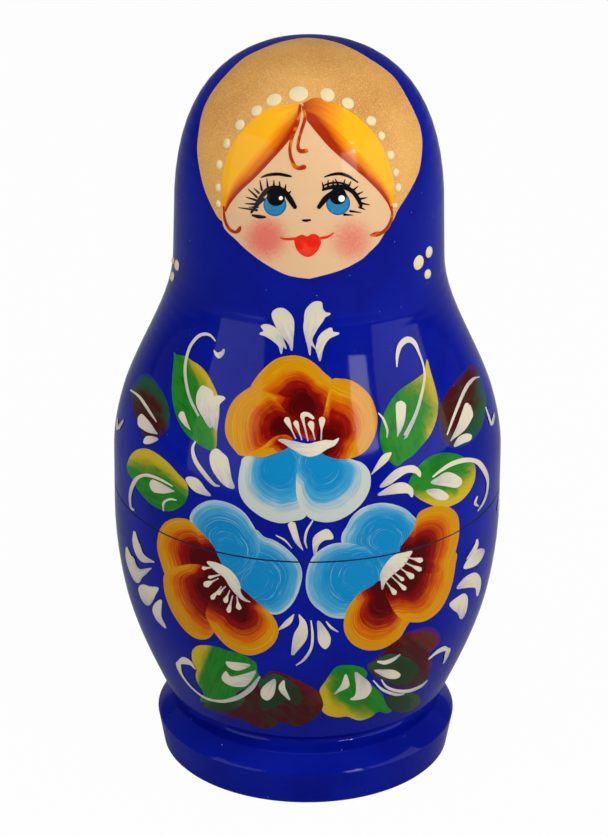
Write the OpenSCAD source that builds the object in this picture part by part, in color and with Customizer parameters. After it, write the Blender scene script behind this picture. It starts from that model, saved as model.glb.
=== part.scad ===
// Nesting doll: six hollow turned wooden dolls and a solid one, each inside the one before.
// Every doll has the same outline. Its size follows from the hollow that it has to fit into.

/* [Foot] */
// Radius of the foot where it stands
foot_base_r = 38.4; // [34:0.1:40]
// Radius of the foot at its widest edge
foot_r = 40; // [37:0.1:44]
// Height of the foot's side, up to the widest edge
foot_side_h = 9.4; // [6:0.1:13]
// Radius of the foot's upper edge, where its bevel ends
bevel_r = 36; // [34.6:0.1:38]
// Height of the bevel
bevel_h = 4.6; // [3:0.1:7]
// Edge break around the foot's underside
foot_edge = 0.5; // [0.2:0.1:1]

/* [Body] */
// Radius at the bottom of the cove between foot and body
cove_r = 33.4; // [30:0.1:34.4]
// Height of the cove
cove_h = 5.6; // [4:0.1:8]
// Radius of the body's lower edge, above the cove
hem_r = 38; // [35:0.1:40]
// Largest radius of the belly
belly_r = 51.4; // [46:0.1:58]
// Height from the body's lower edge to the straight band of the belly
lower_h = 52.7; // [42:0.1:66]
// Height of the straight band of the belly
band_h = 15.5; // [12:0.1:24]
// Height of the curve from the belly to the neck
shoulder_h = 55.3; // [45:0.1:70]

/* [Head] */
// Radius of the neck
neck_r = 35.3; // [31:0.1:38]
// Radius of the head
head_r = 35; // [31:0.1:38]
// Height of the straight side of the head
head_side_h = 12.5; // [8:0.1:20]
// Height of the crown
crown_h = 44.4; // [38:0.1:54]

/* [Hollow] */
// Wall thickness of the outer doll
wall = 5.5; // [4.5:0.1:7]
// Least thickness of the outer doll's base, under the hollow
base_t = 26; // [24:0.1:32]

/* [Joint] */
// Height of the joint line above the lower end of the belly's band
seam_rise = 5.9; // [3:0.1:8]
// Height of the outer doll's spigot ring
spigot_h = 9; // [6:0.1:12]
// Radial play between spigot and socket
fit_gap = 0.15; // [0.1:0.01:0.25]
// Room between the end of the spigot and the end of the socket
seat_gap = 0.5; // [0.3:0.1:1]
// Edge break along the joint line of the outer doll
seam_edge = 0.2; // [0.1:0.05:0.6]
// Chamfer that leads the outer doll's spigot into the socket
lead_in = 0.8; // [0.4:0.1:1.2]

/* [Nesting] */
// Radial room around the doll inside the outer doll's hollow
nest_gap = 1.2; // [0.8:0.1:2]
// Room under the foot of the doll inside the outer doll's hollow
stand_gap = 0.1; // [0.05:0.05:0.3]
// Room above the head of the doll inside the outer doll's hollow
head_gap = 5.5; // [4.5:0.1:8]

/* [Hidden] */
HOLLOW_DOLLS = ["outer", "second", "third", "fourth", "fifth", "sixth"];

lacquer_color = "#1d2fae";
small_lacquer_color = "#2a3fc0";
$fn = 96;

// Points along each curve of the outline
curve_steps = 16;
bevel_steps = 6;
cove_steps = 8;

// Shares that bend the curves of the outline
bevel_side_share = 0.12;
bevel_top_share = 0.4;
cove_low_share = 0.25;
cove_high_share = 0.35;
waist_r_share = 0.35;
waist_z_share = 0.21;
belly_lower_share = 0.49;
belly_upper_share = 0.375;
neck_share = 0.333;
crown_side_share = 0.633;
crown_top_share = 0.696;

// Heights of the outline
bevel_z = foot_side_h + bevel_h;
hem_z = bevel_z + cove_h;
band_z = hem_z + lower_h;
shoulder_z = band_z + band_h;
neck_z = shoulder_z + shoulder_h;
crown_z = neck_z + head_side_h;
height = crown_z + crown_h;
seam_z = band_z + seam_rise;

function bottom_node(name) = str(name, "_doll_bottom");
function top_node(name) = str(name, "_doll_top");

// Point at t on a cubic curve with four control points
function on_curve(c, t) =
    pow(1 - t, 3) * c[0] + 3 * t * pow(1 - t, 2) * c[1] + 3 * t * t * (1 - t) * c[2] + pow(t, 3) * c[3];

// A curve's points without its last one, which the next stretch starts with
function curve(c, steps) = [for (i = [0 : steps - 1]) on_curve(c, i / steps)];

// Radius that the cove's curve is drawn towards, so that its middle comes to cove_r
cove_pull_r = (8 * cove_r - bevel_r - hem_r) / 6;

// Outline of the foot, from the edge that it stands on to the end of the cove
foot_outline = concat(
    [[foot_base_r - foot_edge, 0], [foot_base_r, foot_edge]],
    curve([
        [foot_r, foot_side_h],
        [foot_r, foot_side_h + bevel_h * bevel_side_share],
        [bevel_r + (foot_r - bevel_r) * bevel_top_share, bevel_z - bevel_h * bevel_top_share],
        [bevel_r, bevel_z]
    ], bevel_steps),
    curve([
        [bevel_r, bevel_z],
        [cove_pull_r, bevel_z + cove_h * cove_low_share],
        [cove_pull_r, hem_z - cove_h * cove_high_share],
        [hem_r, hem_z]
    ], cove_steps)
);

// Outline of the body and head, from the body's lower edge to the top of the crown
body_outline = concat(
    curve([
        [hem_r, hem_z],
        [hem_r + (belly_r - hem_r) * waist_r_share, hem_z + lower_h * waist_z_share],
        [belly_r, band_z - lower_h * belly_lower_share],
        [belly_r, band_z]
    ], curve_steps),
    [[belly_r, band_z]],
    curve([
        [belly_r, shoulder_z],
        [belly_r, shoulder_z + shoulder_h * belly_upper_share],
        [neck_r, neck_z - shoulder_h * neck_share],
        [neck_r, neck_z]
    ], curve_steps),
    [[neck_r, neck_z]],
    curve([
        [head_r, crown_z],
        [head_r, crown_z + crown_h * crown_side_share],
        [head_r * crown_top_share, height],
        [0, height]
    ], curve_steps),
    [[0, height]]
);

outline = concat(foot_outline, body_outline);

// Inward unit normal of the body outline at point i
function inward(i) =
    let (
        last = len(body_outline) - 1,
        along = body_outline[min(i + 1, last)] - body_outline[max(i - 1, 0)]
    )
    [-along[1], along[0]] / norm(along);

// Surface of the hollow: the body outline moved in by the wall, and closed on the axis
hollow_outline = concat(
    [for (i = [0 : len(body_outline) - 2]) body_outline[i] + wall * inward(i)],
    [[0, height - wall]]
);

// Radius of an outline at a height
function radius_at(points, z) = lookup(z, [for (p = points) [p[1], p[0]]]);

// Height of the hollow's floor: no lower than the base allows, nor than a foot of that share fits
foot_most_r = max([for (p = foot_outline) p[0]]);
hollow_heights = [for (p = hollow_outline) if (p[1] < band_z) p];
function floor_z(share) = max(base_t, lookup(share * foot_most_r + nest_gap, hollow_heights));

// Height at which a doll of that share stands in the hollow
function nest_z(share) = floor_z(share) + stand_gap;

// Least radial room around a doll of the given share of the size, standing in the hollow
function room_around(share) = min([
    for (p = outline) radius_at(hollow_outline, nest_z(share) + share * p[1]) - share * p[0]
]);

function fits(share) =
    room_around(share) >= nest_gap && nest_z(share) + share * height + head_gap <= height - wall;

// Largest share of the size that fits, found by halving
halvings = 24;
function largest_share(low_share, high_share, left) =
    let (mid_share = (low_share + high_share) / 2)
    left == 0 ? low_share
    : fits(mid_share) ? largest_share(mid_share, high_share, left - 1)
    : largest_share(low_share, mid_share, left - 1);

nest_share = largest_share(0, 1, halvings);
hollow_floor_z = floor_z(nest_share);

// Size of doll k, counted from the outer one, and the height at which it stands
function doll_share(k) = pow(nest_share, k);
function stand_z(k) = k == 0 ? 0 : stand_z(k - 1) + nest_z(nest_share) * doll_share(k - 1);

// Joint of a doll: radii where spigot and socket meet
seam_r = radius_at(outline, seam_z);
hollow_seam_r = radius_at(hollow_outline, seam_z);
function spigot_r(share) = share * (seam_r + hollow_seam_r) / 2 - fit_gap / 2;

// Half section of a doll's lower half, with the spigot
function bottom_section(share) = concat(
    [[0, 0]],
    share * [for (p = outline) if (p[1] < seam_z - seam_edge) p],
    share * [
        [radius_at(outline, seam_z - seam_edge), seam_z - seam_edge],
        [seam_r - seam_edge, seam_z]
    ],
    [
        [spigot_r(share), share * seam_z],
        [spigot_r(share), share * (seam_z + spigot_h - lead_in)],
        [spigot_r(share) - share * lead_in, share * (seam_z + spigot_h)]
    ],
    share * [
        [hollow_seam_r, seam_z + spigot_h],
        [hollow_seam_r, seam_z]
    ],
    share * [
        for (i = [len(hollow_outline) - 1 : -1 : 0])
            if (hollow_outline[i][1] > hollow_floor_z && hollow_outline[i][1] < seam_z) hollow_outline[i]
    ],
    share * [[radius_at(hollow_outline, hollow_floor_z), hollow_floor_z], [0, hollow_floor_z]]
);

// Half section of a doll's upper half, with the socket
function top_section(share) =
    let (
        socket_r = spigot_r(share) + fit_gap,
        socket_z = share * (seam_z + spigot_h) + seat_gap,
        ceiling_z = socket_z / share
    )
    concat(
        share * [
            [seam_r - seam_edge, seam_z],
            [radius_at(outline, seam_z + seam_edge), seam_z + seam_edge]
        ],
        share * [for (p = outline) if (p[1] > seam_z + seam_edge) p],
        share * [
            for (i = [len(hollow_outline) - 1 : -1 : 0])
                if (hollow_outline[i][1] > ceiling_z) hollow_outline[i]
        ],
        [
            [share * radius_at(hollow_outline, ceiling_z), socket_z],
            [socket_r, socket_z],
            [socket_r, share * seam_z]
        ]
    );

module turned(section) {
    rotate_extrude() polygon(section);
}

// Lower half of hollow doll k, with its foot and spigot
module doll_bottom(k) {
    color(lacquer_color) translate([0, 0, stand_z(k)]) turned(bottom_section(doll_share(k)));
}

// Upper half of hollow doll k, with its head and socket
module doll_top(k) {
    color(lacquer_color) translate([0, 0, stand_z(k)]) turned(top_section(doll_share(k)));
}

// The solid doll in the middle
module smallest_doll() {
    k = len(HOLLOW_DOLLS);
    color(small_lacquer_color)
        translate([0, 0, stand_z(k)]) turned(doll_share(k) * concat([[0, 0]], outline));
}

for (k = [0 : len(HOLLOW_DOLLS) - 1]) {
    doll_bottom(k);
    doll_top(k);
}
smallest_doll();
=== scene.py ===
"""Painted and lacquered finish of a turned wooden nesting doll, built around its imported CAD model."""

import copy
import math

import bmesh
import bpy
import numpy as np
from bpy.props import FloatProperty, FloatVectorProperty, IntProperty, PointerProperty
from mathutils import Matrix, Vector
from mathutils.bvhtree import BVHTree
from mathutils.geometry import delaunay_2d_cdt


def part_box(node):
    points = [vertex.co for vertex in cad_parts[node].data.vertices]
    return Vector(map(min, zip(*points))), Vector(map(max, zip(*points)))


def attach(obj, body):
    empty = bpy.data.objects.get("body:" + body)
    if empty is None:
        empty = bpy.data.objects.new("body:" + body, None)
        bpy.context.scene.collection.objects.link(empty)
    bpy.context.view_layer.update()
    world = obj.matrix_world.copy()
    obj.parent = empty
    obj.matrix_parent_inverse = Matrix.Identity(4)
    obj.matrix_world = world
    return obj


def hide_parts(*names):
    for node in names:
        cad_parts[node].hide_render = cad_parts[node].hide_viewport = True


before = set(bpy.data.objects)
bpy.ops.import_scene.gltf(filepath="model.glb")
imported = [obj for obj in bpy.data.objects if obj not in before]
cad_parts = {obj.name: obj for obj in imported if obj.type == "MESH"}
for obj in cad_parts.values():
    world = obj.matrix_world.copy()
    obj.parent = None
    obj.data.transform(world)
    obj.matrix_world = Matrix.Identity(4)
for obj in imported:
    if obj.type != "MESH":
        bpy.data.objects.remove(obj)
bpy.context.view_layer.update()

bl_info = {
    "name": "Nesting doll finish",
    "version": (1, 0, 0),
    "blender": (4, 5, 0),
    "location": "View3D > Sidebar > Nesting doll",
    "description": "Turns the shells of a nesting doll and paints them under clear lacquer",
    "category": "Object",
}

MM = 0.001
HOLLOW_DOLLS = ("outer", "second", "third", "fourth", "fifth", "sixth")

# Camera of the photograph, in metres and in pixels of its frame
PHOTO_WIDTH = 608
PHOTO_HEIGHT = 836
FOCAL_PX = 4815.1
CAMERA_PLACE = Vector((0.0, -1.150, 0.6364))
CAMERA_AIM = Vector((0.0, 0.0, 0.0949))
CAMERA_ROLL = math.radians(0.394)
AXIS_PX = (307.6, 418.0)
SENSOR_MM = 36.0
CLIP_START = 0.01

# Share of plain white in the floor as the camera sees it; the rest takes the light and the shadow
WHITE_SHARE = 0.98
BEND_STEPS = 17

# Light of the studio: strength of the surroundings, and lamps with place, size in metres and watts
WORLD_STRENGTH = 0.22
LAMP_AIM = Vector((0, 0, 0.1))
LAMPS = [
    ("left_softbox", (-0.78, -0.58, 0.34), (0.72, 0.7), 4.7),
    ("right_softbox", (0.92, -0.30, 0.34), (0.8, 0.6), 4.2),
    ("right_window", (0.56, -0.74, 0.46), (0.22, 0.28), 3.0),
    ("right_spot", (0.61, -0.66, 0.60), (0.07, 0.08), 1.3),
    ("overhead", (0.0, -0.1, 1.3), (1.2, 1.2), 6.4),
]

# Kerchief front and face, as outlines in pixels of the photograph
KERCHIEF = [
    (308, 38), (333, 41.7), (354, 50), (371, 60), (385, 69.5), (396, 80), (408, 100), (417.5, 120),
    (421, 133), (422, 146.7), (419, 170), (410, 190), (397.5, 210), (391, 222), (370, 235), (340, 245),
    (306, 248), (275, 245), (245, 235), (222, 221), (214, 210), (205, 190), (200, 170), (197.5, 150),
    (199, 132), (202.5, 113), (210, 96), (221.7, 80), (241.7, 60), (260, 50), (283, 41.7),
]
KERCHIEF_CORE = (308, 150)
FACE = [
    (391, 222), (386, 230), (378, 243), (369, 252), (360, 260), (340, 270), (313, 277.5), (306, 278),
    (290, 275.5), (276.7, 270), (260, 260), (246, 249), (236.7, 240), (224, 226.7), (223, 208),
    (228, 190), (245, 165), (270, 138), (292, 117), (305, 113), (318, 118), (345, 145), (372, 172),
    (388, 195), (392, 210),
]
FACE_CORE = (307, 205)
BLUSH = [(266, 238, 26, 0.92), (351, 240, 27, 0.7), (268, 190, 22, 0.14), (345, 190, 22, 0.12)]

# Parted hair, each side with the depth of shade at the parting, an outer and an inner edge
HAIR = [
    (0.3, [(300, 103), (272, 107), (257, 117), (245, 128), (234, 142), (227, 157), (223, 175),
     (222, 195), (223, 208)], [(300, 112), (297, 128), (287, 143), (272, 160), (256, 177), (241, 191),
      (231, 203), (226, 212)]),
    (0.75, [(303, 103), (315, 98), (330, 101), (347, 110), (362, 121), (377, 138), (386, 156),
      (392, 176), (394, 195), (392, 212)],
     [(307, 121), (316, 132), (328, 146), (340, 157), (352, 167), (365, 178), (378, 191), (387, 203),
      (391, 213)]),
]
HAIR_CURLS = [
    [(303, 106, 1.2), (305, 118, 1.8), (301, 132, 1.6), (298, 145, 1.6), (300, 151, 2.2),
     (306, 151, 2.4)],
    [(300, 106, 1.4), (298, 122, 1.9), (292, 138, 1.7), (290, 152, 1.6), (294, 165, 2.0), (299, 168, 2.3),
     (304, 167, 2.6)],
    [(224, 206, 1.0), (225, 219, 1.4), (229, 228, 1.6), (235, 232, 1.6), (239, 230, 2.2),
     (240.5, 227, 1.4)],
    [(391.5, 206, 1.0), (391.5, 217, 1.4), (388, 226, 1.6), (382, 232.5, 1.8), (376, 234, 2.6),
     (370, 235, 1.0)],
]

# Eyes, brows, nose and mouth
IRISES = [(275, 204.5, 11.5), (338, 203, 12)]
PUPILS = [(276, 197, 9), (338, 196, 8.5)]
EYE_LIGHTS = [(281, 198, 2.0), (341.5, 198.5, 3.2)]
BROWS = [
    [(261, 177.5, 0.6), (268, 175, 1.5), (278, 174, 1.7), (287, 175.5, 1.5), (292, 176.5, 0.7)],
    [(324, 177, 0.6), (332, 174.5, 1.4), (340, 173.7, 1.7), (348, 176, 1.6), (358, 182.5, 0.7)],
]
LIDS = [
    [(256, 204, 1.4), (262, 196, 2.4), (268, 190, 2.8), (276, 187.5, 2.4), (284, 191, 2.4),
     (290, 199, 3.0), (295, 207, 2.2)],
    [(251, 213, 1.2), (257, 205, 1.8), (264, 199, 1.4)],
    [(252, 215, 1.0), (259, 216.5, 2.0), (266, 217, 1.0)],
    [(319, 207, 2.2), (325, 199, 3.0), (332, 193, 2.4), (340, 188.5, 1.8)],
    [(322, 190, 1.2), (332, 187, 2.2), (343, 187, 2.4), (352, 191, 2.4), (358, 199, 2.2),
     (361, 206, 1.6)],
    [(323, 185.5, 0.8), (331, 183, 1.1), (340, 182.8, 1.1), (349, 185.5, 0.8)],
]
LASHES = [
    ((262, 190), (260, 180)), ((268, 188), (267, 178.5)), ((274, 187), (274, 180)),
    ((280, 188), (279.5, 181)), ((285, 190), (286, 184)), ((289, 193), (291, 191)),
    ((259, 193), (254, 188)), ((257, 197), (248, 188.5)), ((256, 200), (246, 197)),
    ((256, 204), (245, 203.5)), ((258, 207), (249, 207)), ((257, 210), (238.5, 207.5)),
    ((324, 189), (322, 182)), ((328, 187), (328, 179.5)), ((333, 187), (333, 180)),
    ((338, 185), (335, 178.5)), ((343, 186), (345, 179)), ((348, 188), (351, 181)),
    ((352, 191), (358, 186)), ((356, 195), (363, 191.5)), ((359, 199), (367, 197.5)),
    ((361, 203), (370, 205)), ((359, 207), (365, 209.5)), ((350, 211), (361, 212.5)),
    ((344, 214.5), (353, 215)),
]
NOSE = [(302, 220.2, 0.8), (306.5, 220.4, 1.5), (311, 219.8, 0.8)]
LIPS = [
    (295, 238), (299, 235.5), (303, 234.5), (307, 236.5), (311, 234), (316, 234.2), (320, 237.5),
    (321, 243), (318, 250), (313, 255), (308, 257), (302, 255), (297, 250), (294.5, 243),
]
LIPS_CORE = (308, 244)
SMILE = [
    [(280, 237.5, 0.7), (286, 239, 1.3), (295, 238.5, 1.6)],
    [(321, 238, 1.6), (328, 236.5, 1.3), (334, 232.5, 0.7)],
]

# Dots of thick paint: centre, half width, half height and turn in degrees
BEADS = [
    (298.5, 94, 9.8, 7.8, 0), (327.3, 95, 7.3, 7, 0), (347.8, 103.3, 6.5, 5.5, 25), (371, 121, 5, 5, 0),
    (381.3, 135.8, 3.5, 4.3, 0), (390.6, 155, 3.5, 4.6, 0), (395.7, 172.5, 2.8, 4.3, 0),
    (398, 187.5, 3, 4.3, 0), (394.6, 205.3, 2.5, 2.6, 0), (274, 100, 8, 6, -15),
    (256.7, 110.8, 6, 5, -20), (240, 124.8, 4.8, 5.4, 0), (227, 143.5, 3.3, 5.2, 10),
    (219.6, 164.5, 3, 4.8, 0), (218.5, 187.5, 2.6, 4.2, 0), (218.6, 203.5, 2, 3.9, 0),
]
SHOULDER_DOTS = [
    (418.3, 262.5, 4.7, 7.6, 15), (428.7, 252, 3, 6, 15), (427.3, 274, 3, 5, 10),
    (177.2, 265.2, 2.0, 5.6, -4), (172.6, 276.5, 1.5, 5.0, 6), (173.6, 260.5, 0.7, 3.4, 0),
]
BACK_DOTS = [(308, 150, 5, 6, 0), (295, 169, 4.2, 5.2, 10), (321, 169, 4.2, 5.2, -10)]

# Petals: finish, base that the shading starts from, outline. Later ones lie over earlier ones
TOP_FLOWER = [
    ("cream_blue", (280, 463), [
        (246, 456), (241, 465), (239, 476), (238.5, 484), (240, 494), (245, 503), (252, 510), (262, 517),
        (273, 521.5), (283, 523), (293, 521), (305, 517), (314, 500), (312, 478), (306, 457),
         (280, 442)]),
    ("cream_blue", (320, 463), [
        (318, 450), (335, 453), (352, 459.5), (362, 463), (369, 471), (370.5, 480), (369, 490),
        (364, 500), (357, 508), (348, 515), (338, 520), (328, 522), (318, 521), (310, 518), (303, 511),
        (298, 502), (296, 488), (297, 470), (300, 455)]),
    ("warm", (285, 426), [
        (251, 387), (243, 392), (235, 399), (229, 409), (226, 420), (225.5, 432), (229, 442), (235, 450),
        (241, 455.5), (255, 455), (272, 448), (288, 442), (299, 432), (302, 416), (296, 402), (284, 391),
        (270, 384), (259, 382)]),
    ("warm", (302, 399), [
        (251, 387), (257, 377), (266, 367), (276, 359.5), (287, 356.3), (297, 356), (307, 359),
        (316, 365), (324, 373), (333, 381), (340, 394), (336, 412), (326, 432), (314, 440), (303, 437),
        (293, 429), (287, 414), (279, 403), (268, 396), (256, 390)]),
    ("warm", (330, 438), [
        (332, 380), (340, 379), (350, 380.5), (360, 386), (369, 395), (374, 405), (377, 418), (376, 430),
        (372, 441), (366, 450), (357, 456), (345, 459), (333, 458), (322, 453), (316, 444), (318, 430),
        (324, 412), (328, 394)]),
    ("fold", (279, 443), [
        (248, 454), (262, 447), (275, 437), (287, 435), (293, 441), (287, 448), (275, 453), (262, 457)]),
]
LEFT_FLOWER = [
    ("sky_blue", (255, 583), [
        (256, 530), (264, 537), (273, 540), (283, 546), (292, 554), (299, 563), (302, 574), (300, 586),
        (296, 597), (290, 606), (281, 613), (272, 614), (262, 608), (248, 598), (236, 588), (234, 568),
        (242, 550), (248, 536)]),
    ("sky_blue", (230, 552), [
        (190, 520), (192, 512), (199, 505), (208, 501), (217, 500.5), (228, 503), (238, 508), (246, 515),
        (252, 524), (257, 533), (260, 541), (259, 553), (255, 562), (246, 572), (232, 574), (218, 568),
        (204, 552), (194, 536)]),
    ("low_warm", (206, 560), [
        (158, 538), (160, 530), (165, 523), (173, 519), (182, 518.5), (190, 521), (199, 530), (207, 538),
        (214, 547), (218, 556), (222, 567), (218, 580), (202, 585), (184, 583), (168, 578), (161, 562),
        (157.5, 548)]),
    ("low_warm", (212, 584), [
        (165, 574), (164, 585), (166, 596), (171, 609), (178, 621), (187, 632), (196, 638), (205, 639),
        (212, 635), (220, 622), (230, 606), (236, 594), (226, 580), (212, 568), (194, 564), (176, 567)]),
    ("low_warm", (236, 602), [
        (206, 612), (209, 622), (216, 634), (226, 645), (238, 652), (250, 655), (262, 652), (272, 645),
        (277, 637), (278, 629), (275, 620), (270, 613), (262, 606), (252, 598), (240, 588), (226, 586),
        (212, 598)]),
]
RIGHT_FLOWER = [
    ("sky_blue", (387, 543), [
        (343, 545), (342, 535), (347, 526), (352, 517), (361, 509), (372, 504.5), (383, 503), (395, 505),
        (405, 509), (412, 515), (419, 524), (416, 540), (404, 556), (390, 566), (374, 566), (356, 556)]),
    ("sky_blue", (362, 575), [
        (306, 580), (308, 568), (313, 557), (322, 549), (333, 544), (346, 543), (358, 545), (367, 549),
        (375, 556), (381, 566), (388, 580), (378, 594), (364, 602), (354, 612), (346, 618), (331, 617),
        (321, 611), (312, 603), (307, 592)]),
    ("low_warm", (386, 594), [
        (381, 580), (372, 586), (361, 592), (353, 600), (347, 610), (344, 622), (345, 632), (350, 641),
        (358, 647), (368, 650), (380, 649), (391, 644), (400, 637), (406, 627), (412, 616), (408, 600),
        (396, 584)]),
    ("low_warm", (402, 578), [
        (455, 552), (455, 565), (452, 583), (447, 597), (441, 608), (433, 616), (424, 621), (414, 622),
        (404, 620), (396, 614), (390, 604), (384, 588), (394, 572), (410, 558), (432, 552)]),
    ("low_warm", (412, 557), [
        (416, 520), (419, 513), (428, 508), (440, 506), (450, 508), (457, 515), (459, 526), (458, 540),
        (455, 552), (452, 560), (445, 569), (433, 573), (418, 572), (404, 566), (400, 550), (406, 540),
        (413, 530)]),
]
# Each flower with its heart, towards which its petals darken
FLOWERS = [((305, 447), TOP_FLOWER), ((228, 580), LEFT_FLOWER), ((394, 574), RIGHT_FLOWER)]

COLLARS = [
    [(278, 440), (284, 439), (292, 441), (303, 443.5), (310, 444), (318, 441.5), (326, 440), (333, 440.5),
     (339, 438), (335, 445), (327, 449), (319, 454), (310, 456.5), (302, 454.5), (294, 450), (286, 445)],
    [(207, 562), (214, 562), (222, 565), (230, 570), (236, 577), (240, 585), (241, 592), (245, 598),
     (251, 602), (243, 600), (235, 593), (229, 585), (224, 577), (216, 571)],
    [(412, 551), (405, 552), (397, 554), (390, 559), (384, 567), (380, 575), (381, 582), (382, 590),
     (385, 583), (390, 577), (397, 571), (404, 565), (409, 557)],
]

# Leaves: finish, core, outline, and the two points between which the first colour turns into the second
LEAVES = [
    ("bright", (193, 400), (190, 402), (214, 394), [
        (174, 352), (177, 355), (186, 356.5), (192, 361), (200, 366), (207, 374), (213, 385), (217, 394),
        (219, 402), (219, 415), (217, 430), (216, 448), (210, 450), (203, 447), (193, 440), (184, 431),
        (178, 420), (174, 407), (172, 392), (172.5, 375), (174, 360)]),
    ("dark", (152, 408), (144, 420), (162, 402), [
        (131, 390), (136, 380), (143, 373.5), (149, 374), (157, 383), (163, 393), (168, 406), (170, 420),
        (169, 428), (163, 434), (158, 439), (150, 441), (144, 440), (140, 428), (135, 415), (131, 400)]),
    ("bright", (158, 480), (152, 490), (163, 464), [
        (127, 469), (130, 457), (137, 450), (147, 449), (157, 454), (168, 463), (178, 474), (185, 481),
        (188, 490), (186, 500), (180, 507), (170, 511), (160, 509), (150, 503), (140, 492), (133, 480)]),
    ("bright", (422, 400), (402, 418), (432, 408), [
        (427, 359.5), (430, 370), (434, 384), (437, 397), (438, 407), (436, 420), (431, 433), (423, 444),
        (413, 455), (404, 461), (398, 466), (392, 463), (386, 457), (382, 448), (380, 438), (381, 425),
        (385, 412), (391, 401), (399, 391), (409, 384), (419, 377), (424, 372)]),
    ("dark", (462, 410), (450, 404), (478, 416), [
        (470, 364), (477, 368), (482, 378), (485, 392), (486, 404), (484, 418), (480, 430), (473, 440),
        (464, 446), (455, 447.5), (447, 446), (441, 437), (439, 425), (439, 412), (442, 402), (449, 390),
        (457, 378), (464, 370)]),
    ("bright", (442, 480), (436, 468), (452, 500), [
        (410, 480), (415, 472), (422, 463), (432, 456), (444, 453), (455, 454), (465, 458), (474, 464),
        (475, 476), (473, 484), (468, 493), (460, 501), (450, 506), (441, 508), (430, 504), (420, 499),
        (413, 493), (409, 486)]),
    ("red", (285, 704), (292, 716), (312, 686), [
        (258, 682), (268, 673), (276, 672), (290, 677), (303, 683), (314, 689), (321, 696), (323, 703),
        (321, 711), (315, 718), (306, 723), (297, 726), (288, 724), (281, 722), (275, 726), (265, 728),
        (255, 726), (246, 721), (235, 719), (222, 715), (210, 711), (203, 706), (215, 698), (240, 690)]),
    ("dusk", (280, 688), (276, 700), (270, 680), [
        (258, 684), (266, 675), (276, 674), (290, 681), (300, 690), (303, 700), (296, 706), (286, 700),
        (278, 706), (266, 712), (258, 704), (262, 694)]),
    ("dusk", (222, 704), (222, 712), (222, 702), [
        (203, 705), (212, 699), (226, 698), (240, 694), (246, 700), (238, 708), (222, 711), (210, 709)]),
    ("bright", (230, 678), (208, 676), (194, 672), [
        (192, 655), (193, 650), (198, 646), (206, 645.5), (216, 647), (228, 651), (240, 654), (250, 659),
        (256, 664), (257, 672), (260, 678), (254, 685), (240, 690), (233, 697), (222, 700), (205, 702),
        (200, 699), (204, 693), (198, 683), (196, 675), (197, 669), (193, 662)]),
    ("bright", (350, 692), (356, 684), (334, 710), [
        (320, 690), (326, 681), (332, 672), (337, 667), (345, 665.5), (354, 666), (362, 668), (367, 673),
        (366, 680), (375, 688), (382, 694), (384, 700), (387, 706), (392, 711), (386, 713), (378, 711.5),
        (370, 717), (360, 720), (352, 718), (347, 716), (338, 717), (328, 715), (322, 710), (324, 705),
        (322, 698)]),
    ("red", (408, 656), (400, 668), (428, 632), [
        (367, 666), (375, 658), (385, 650), (393, 643), (403, 636), (414, 630), (425, 627), (434, 628),
        (440, 635), (439, 643), (432, 650), (428, 656), (432, 662), (431, 672), (426, 682), (418, 688),
        (405, 691), (393, 689), (383, 683), (374, 678), (370, 672)]),
    ("dusk", (396, 668), (410, 680), (388, 660), [
        (367, 666), (376, 659), (388, 654), (400, 655), (412, 660), (420, 668), (418, 678), (408, 684),
        (395, 684), (384, 680), (374, 675)]),
    ("dusk", (403, 702), (390, 704), (415, 698), [
        (386, 699), (394, 693), (405, 691), (415, 693), (421, 699), (418, 706), (410, 711), (400, 712),
        (391, 709)]),
]

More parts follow.
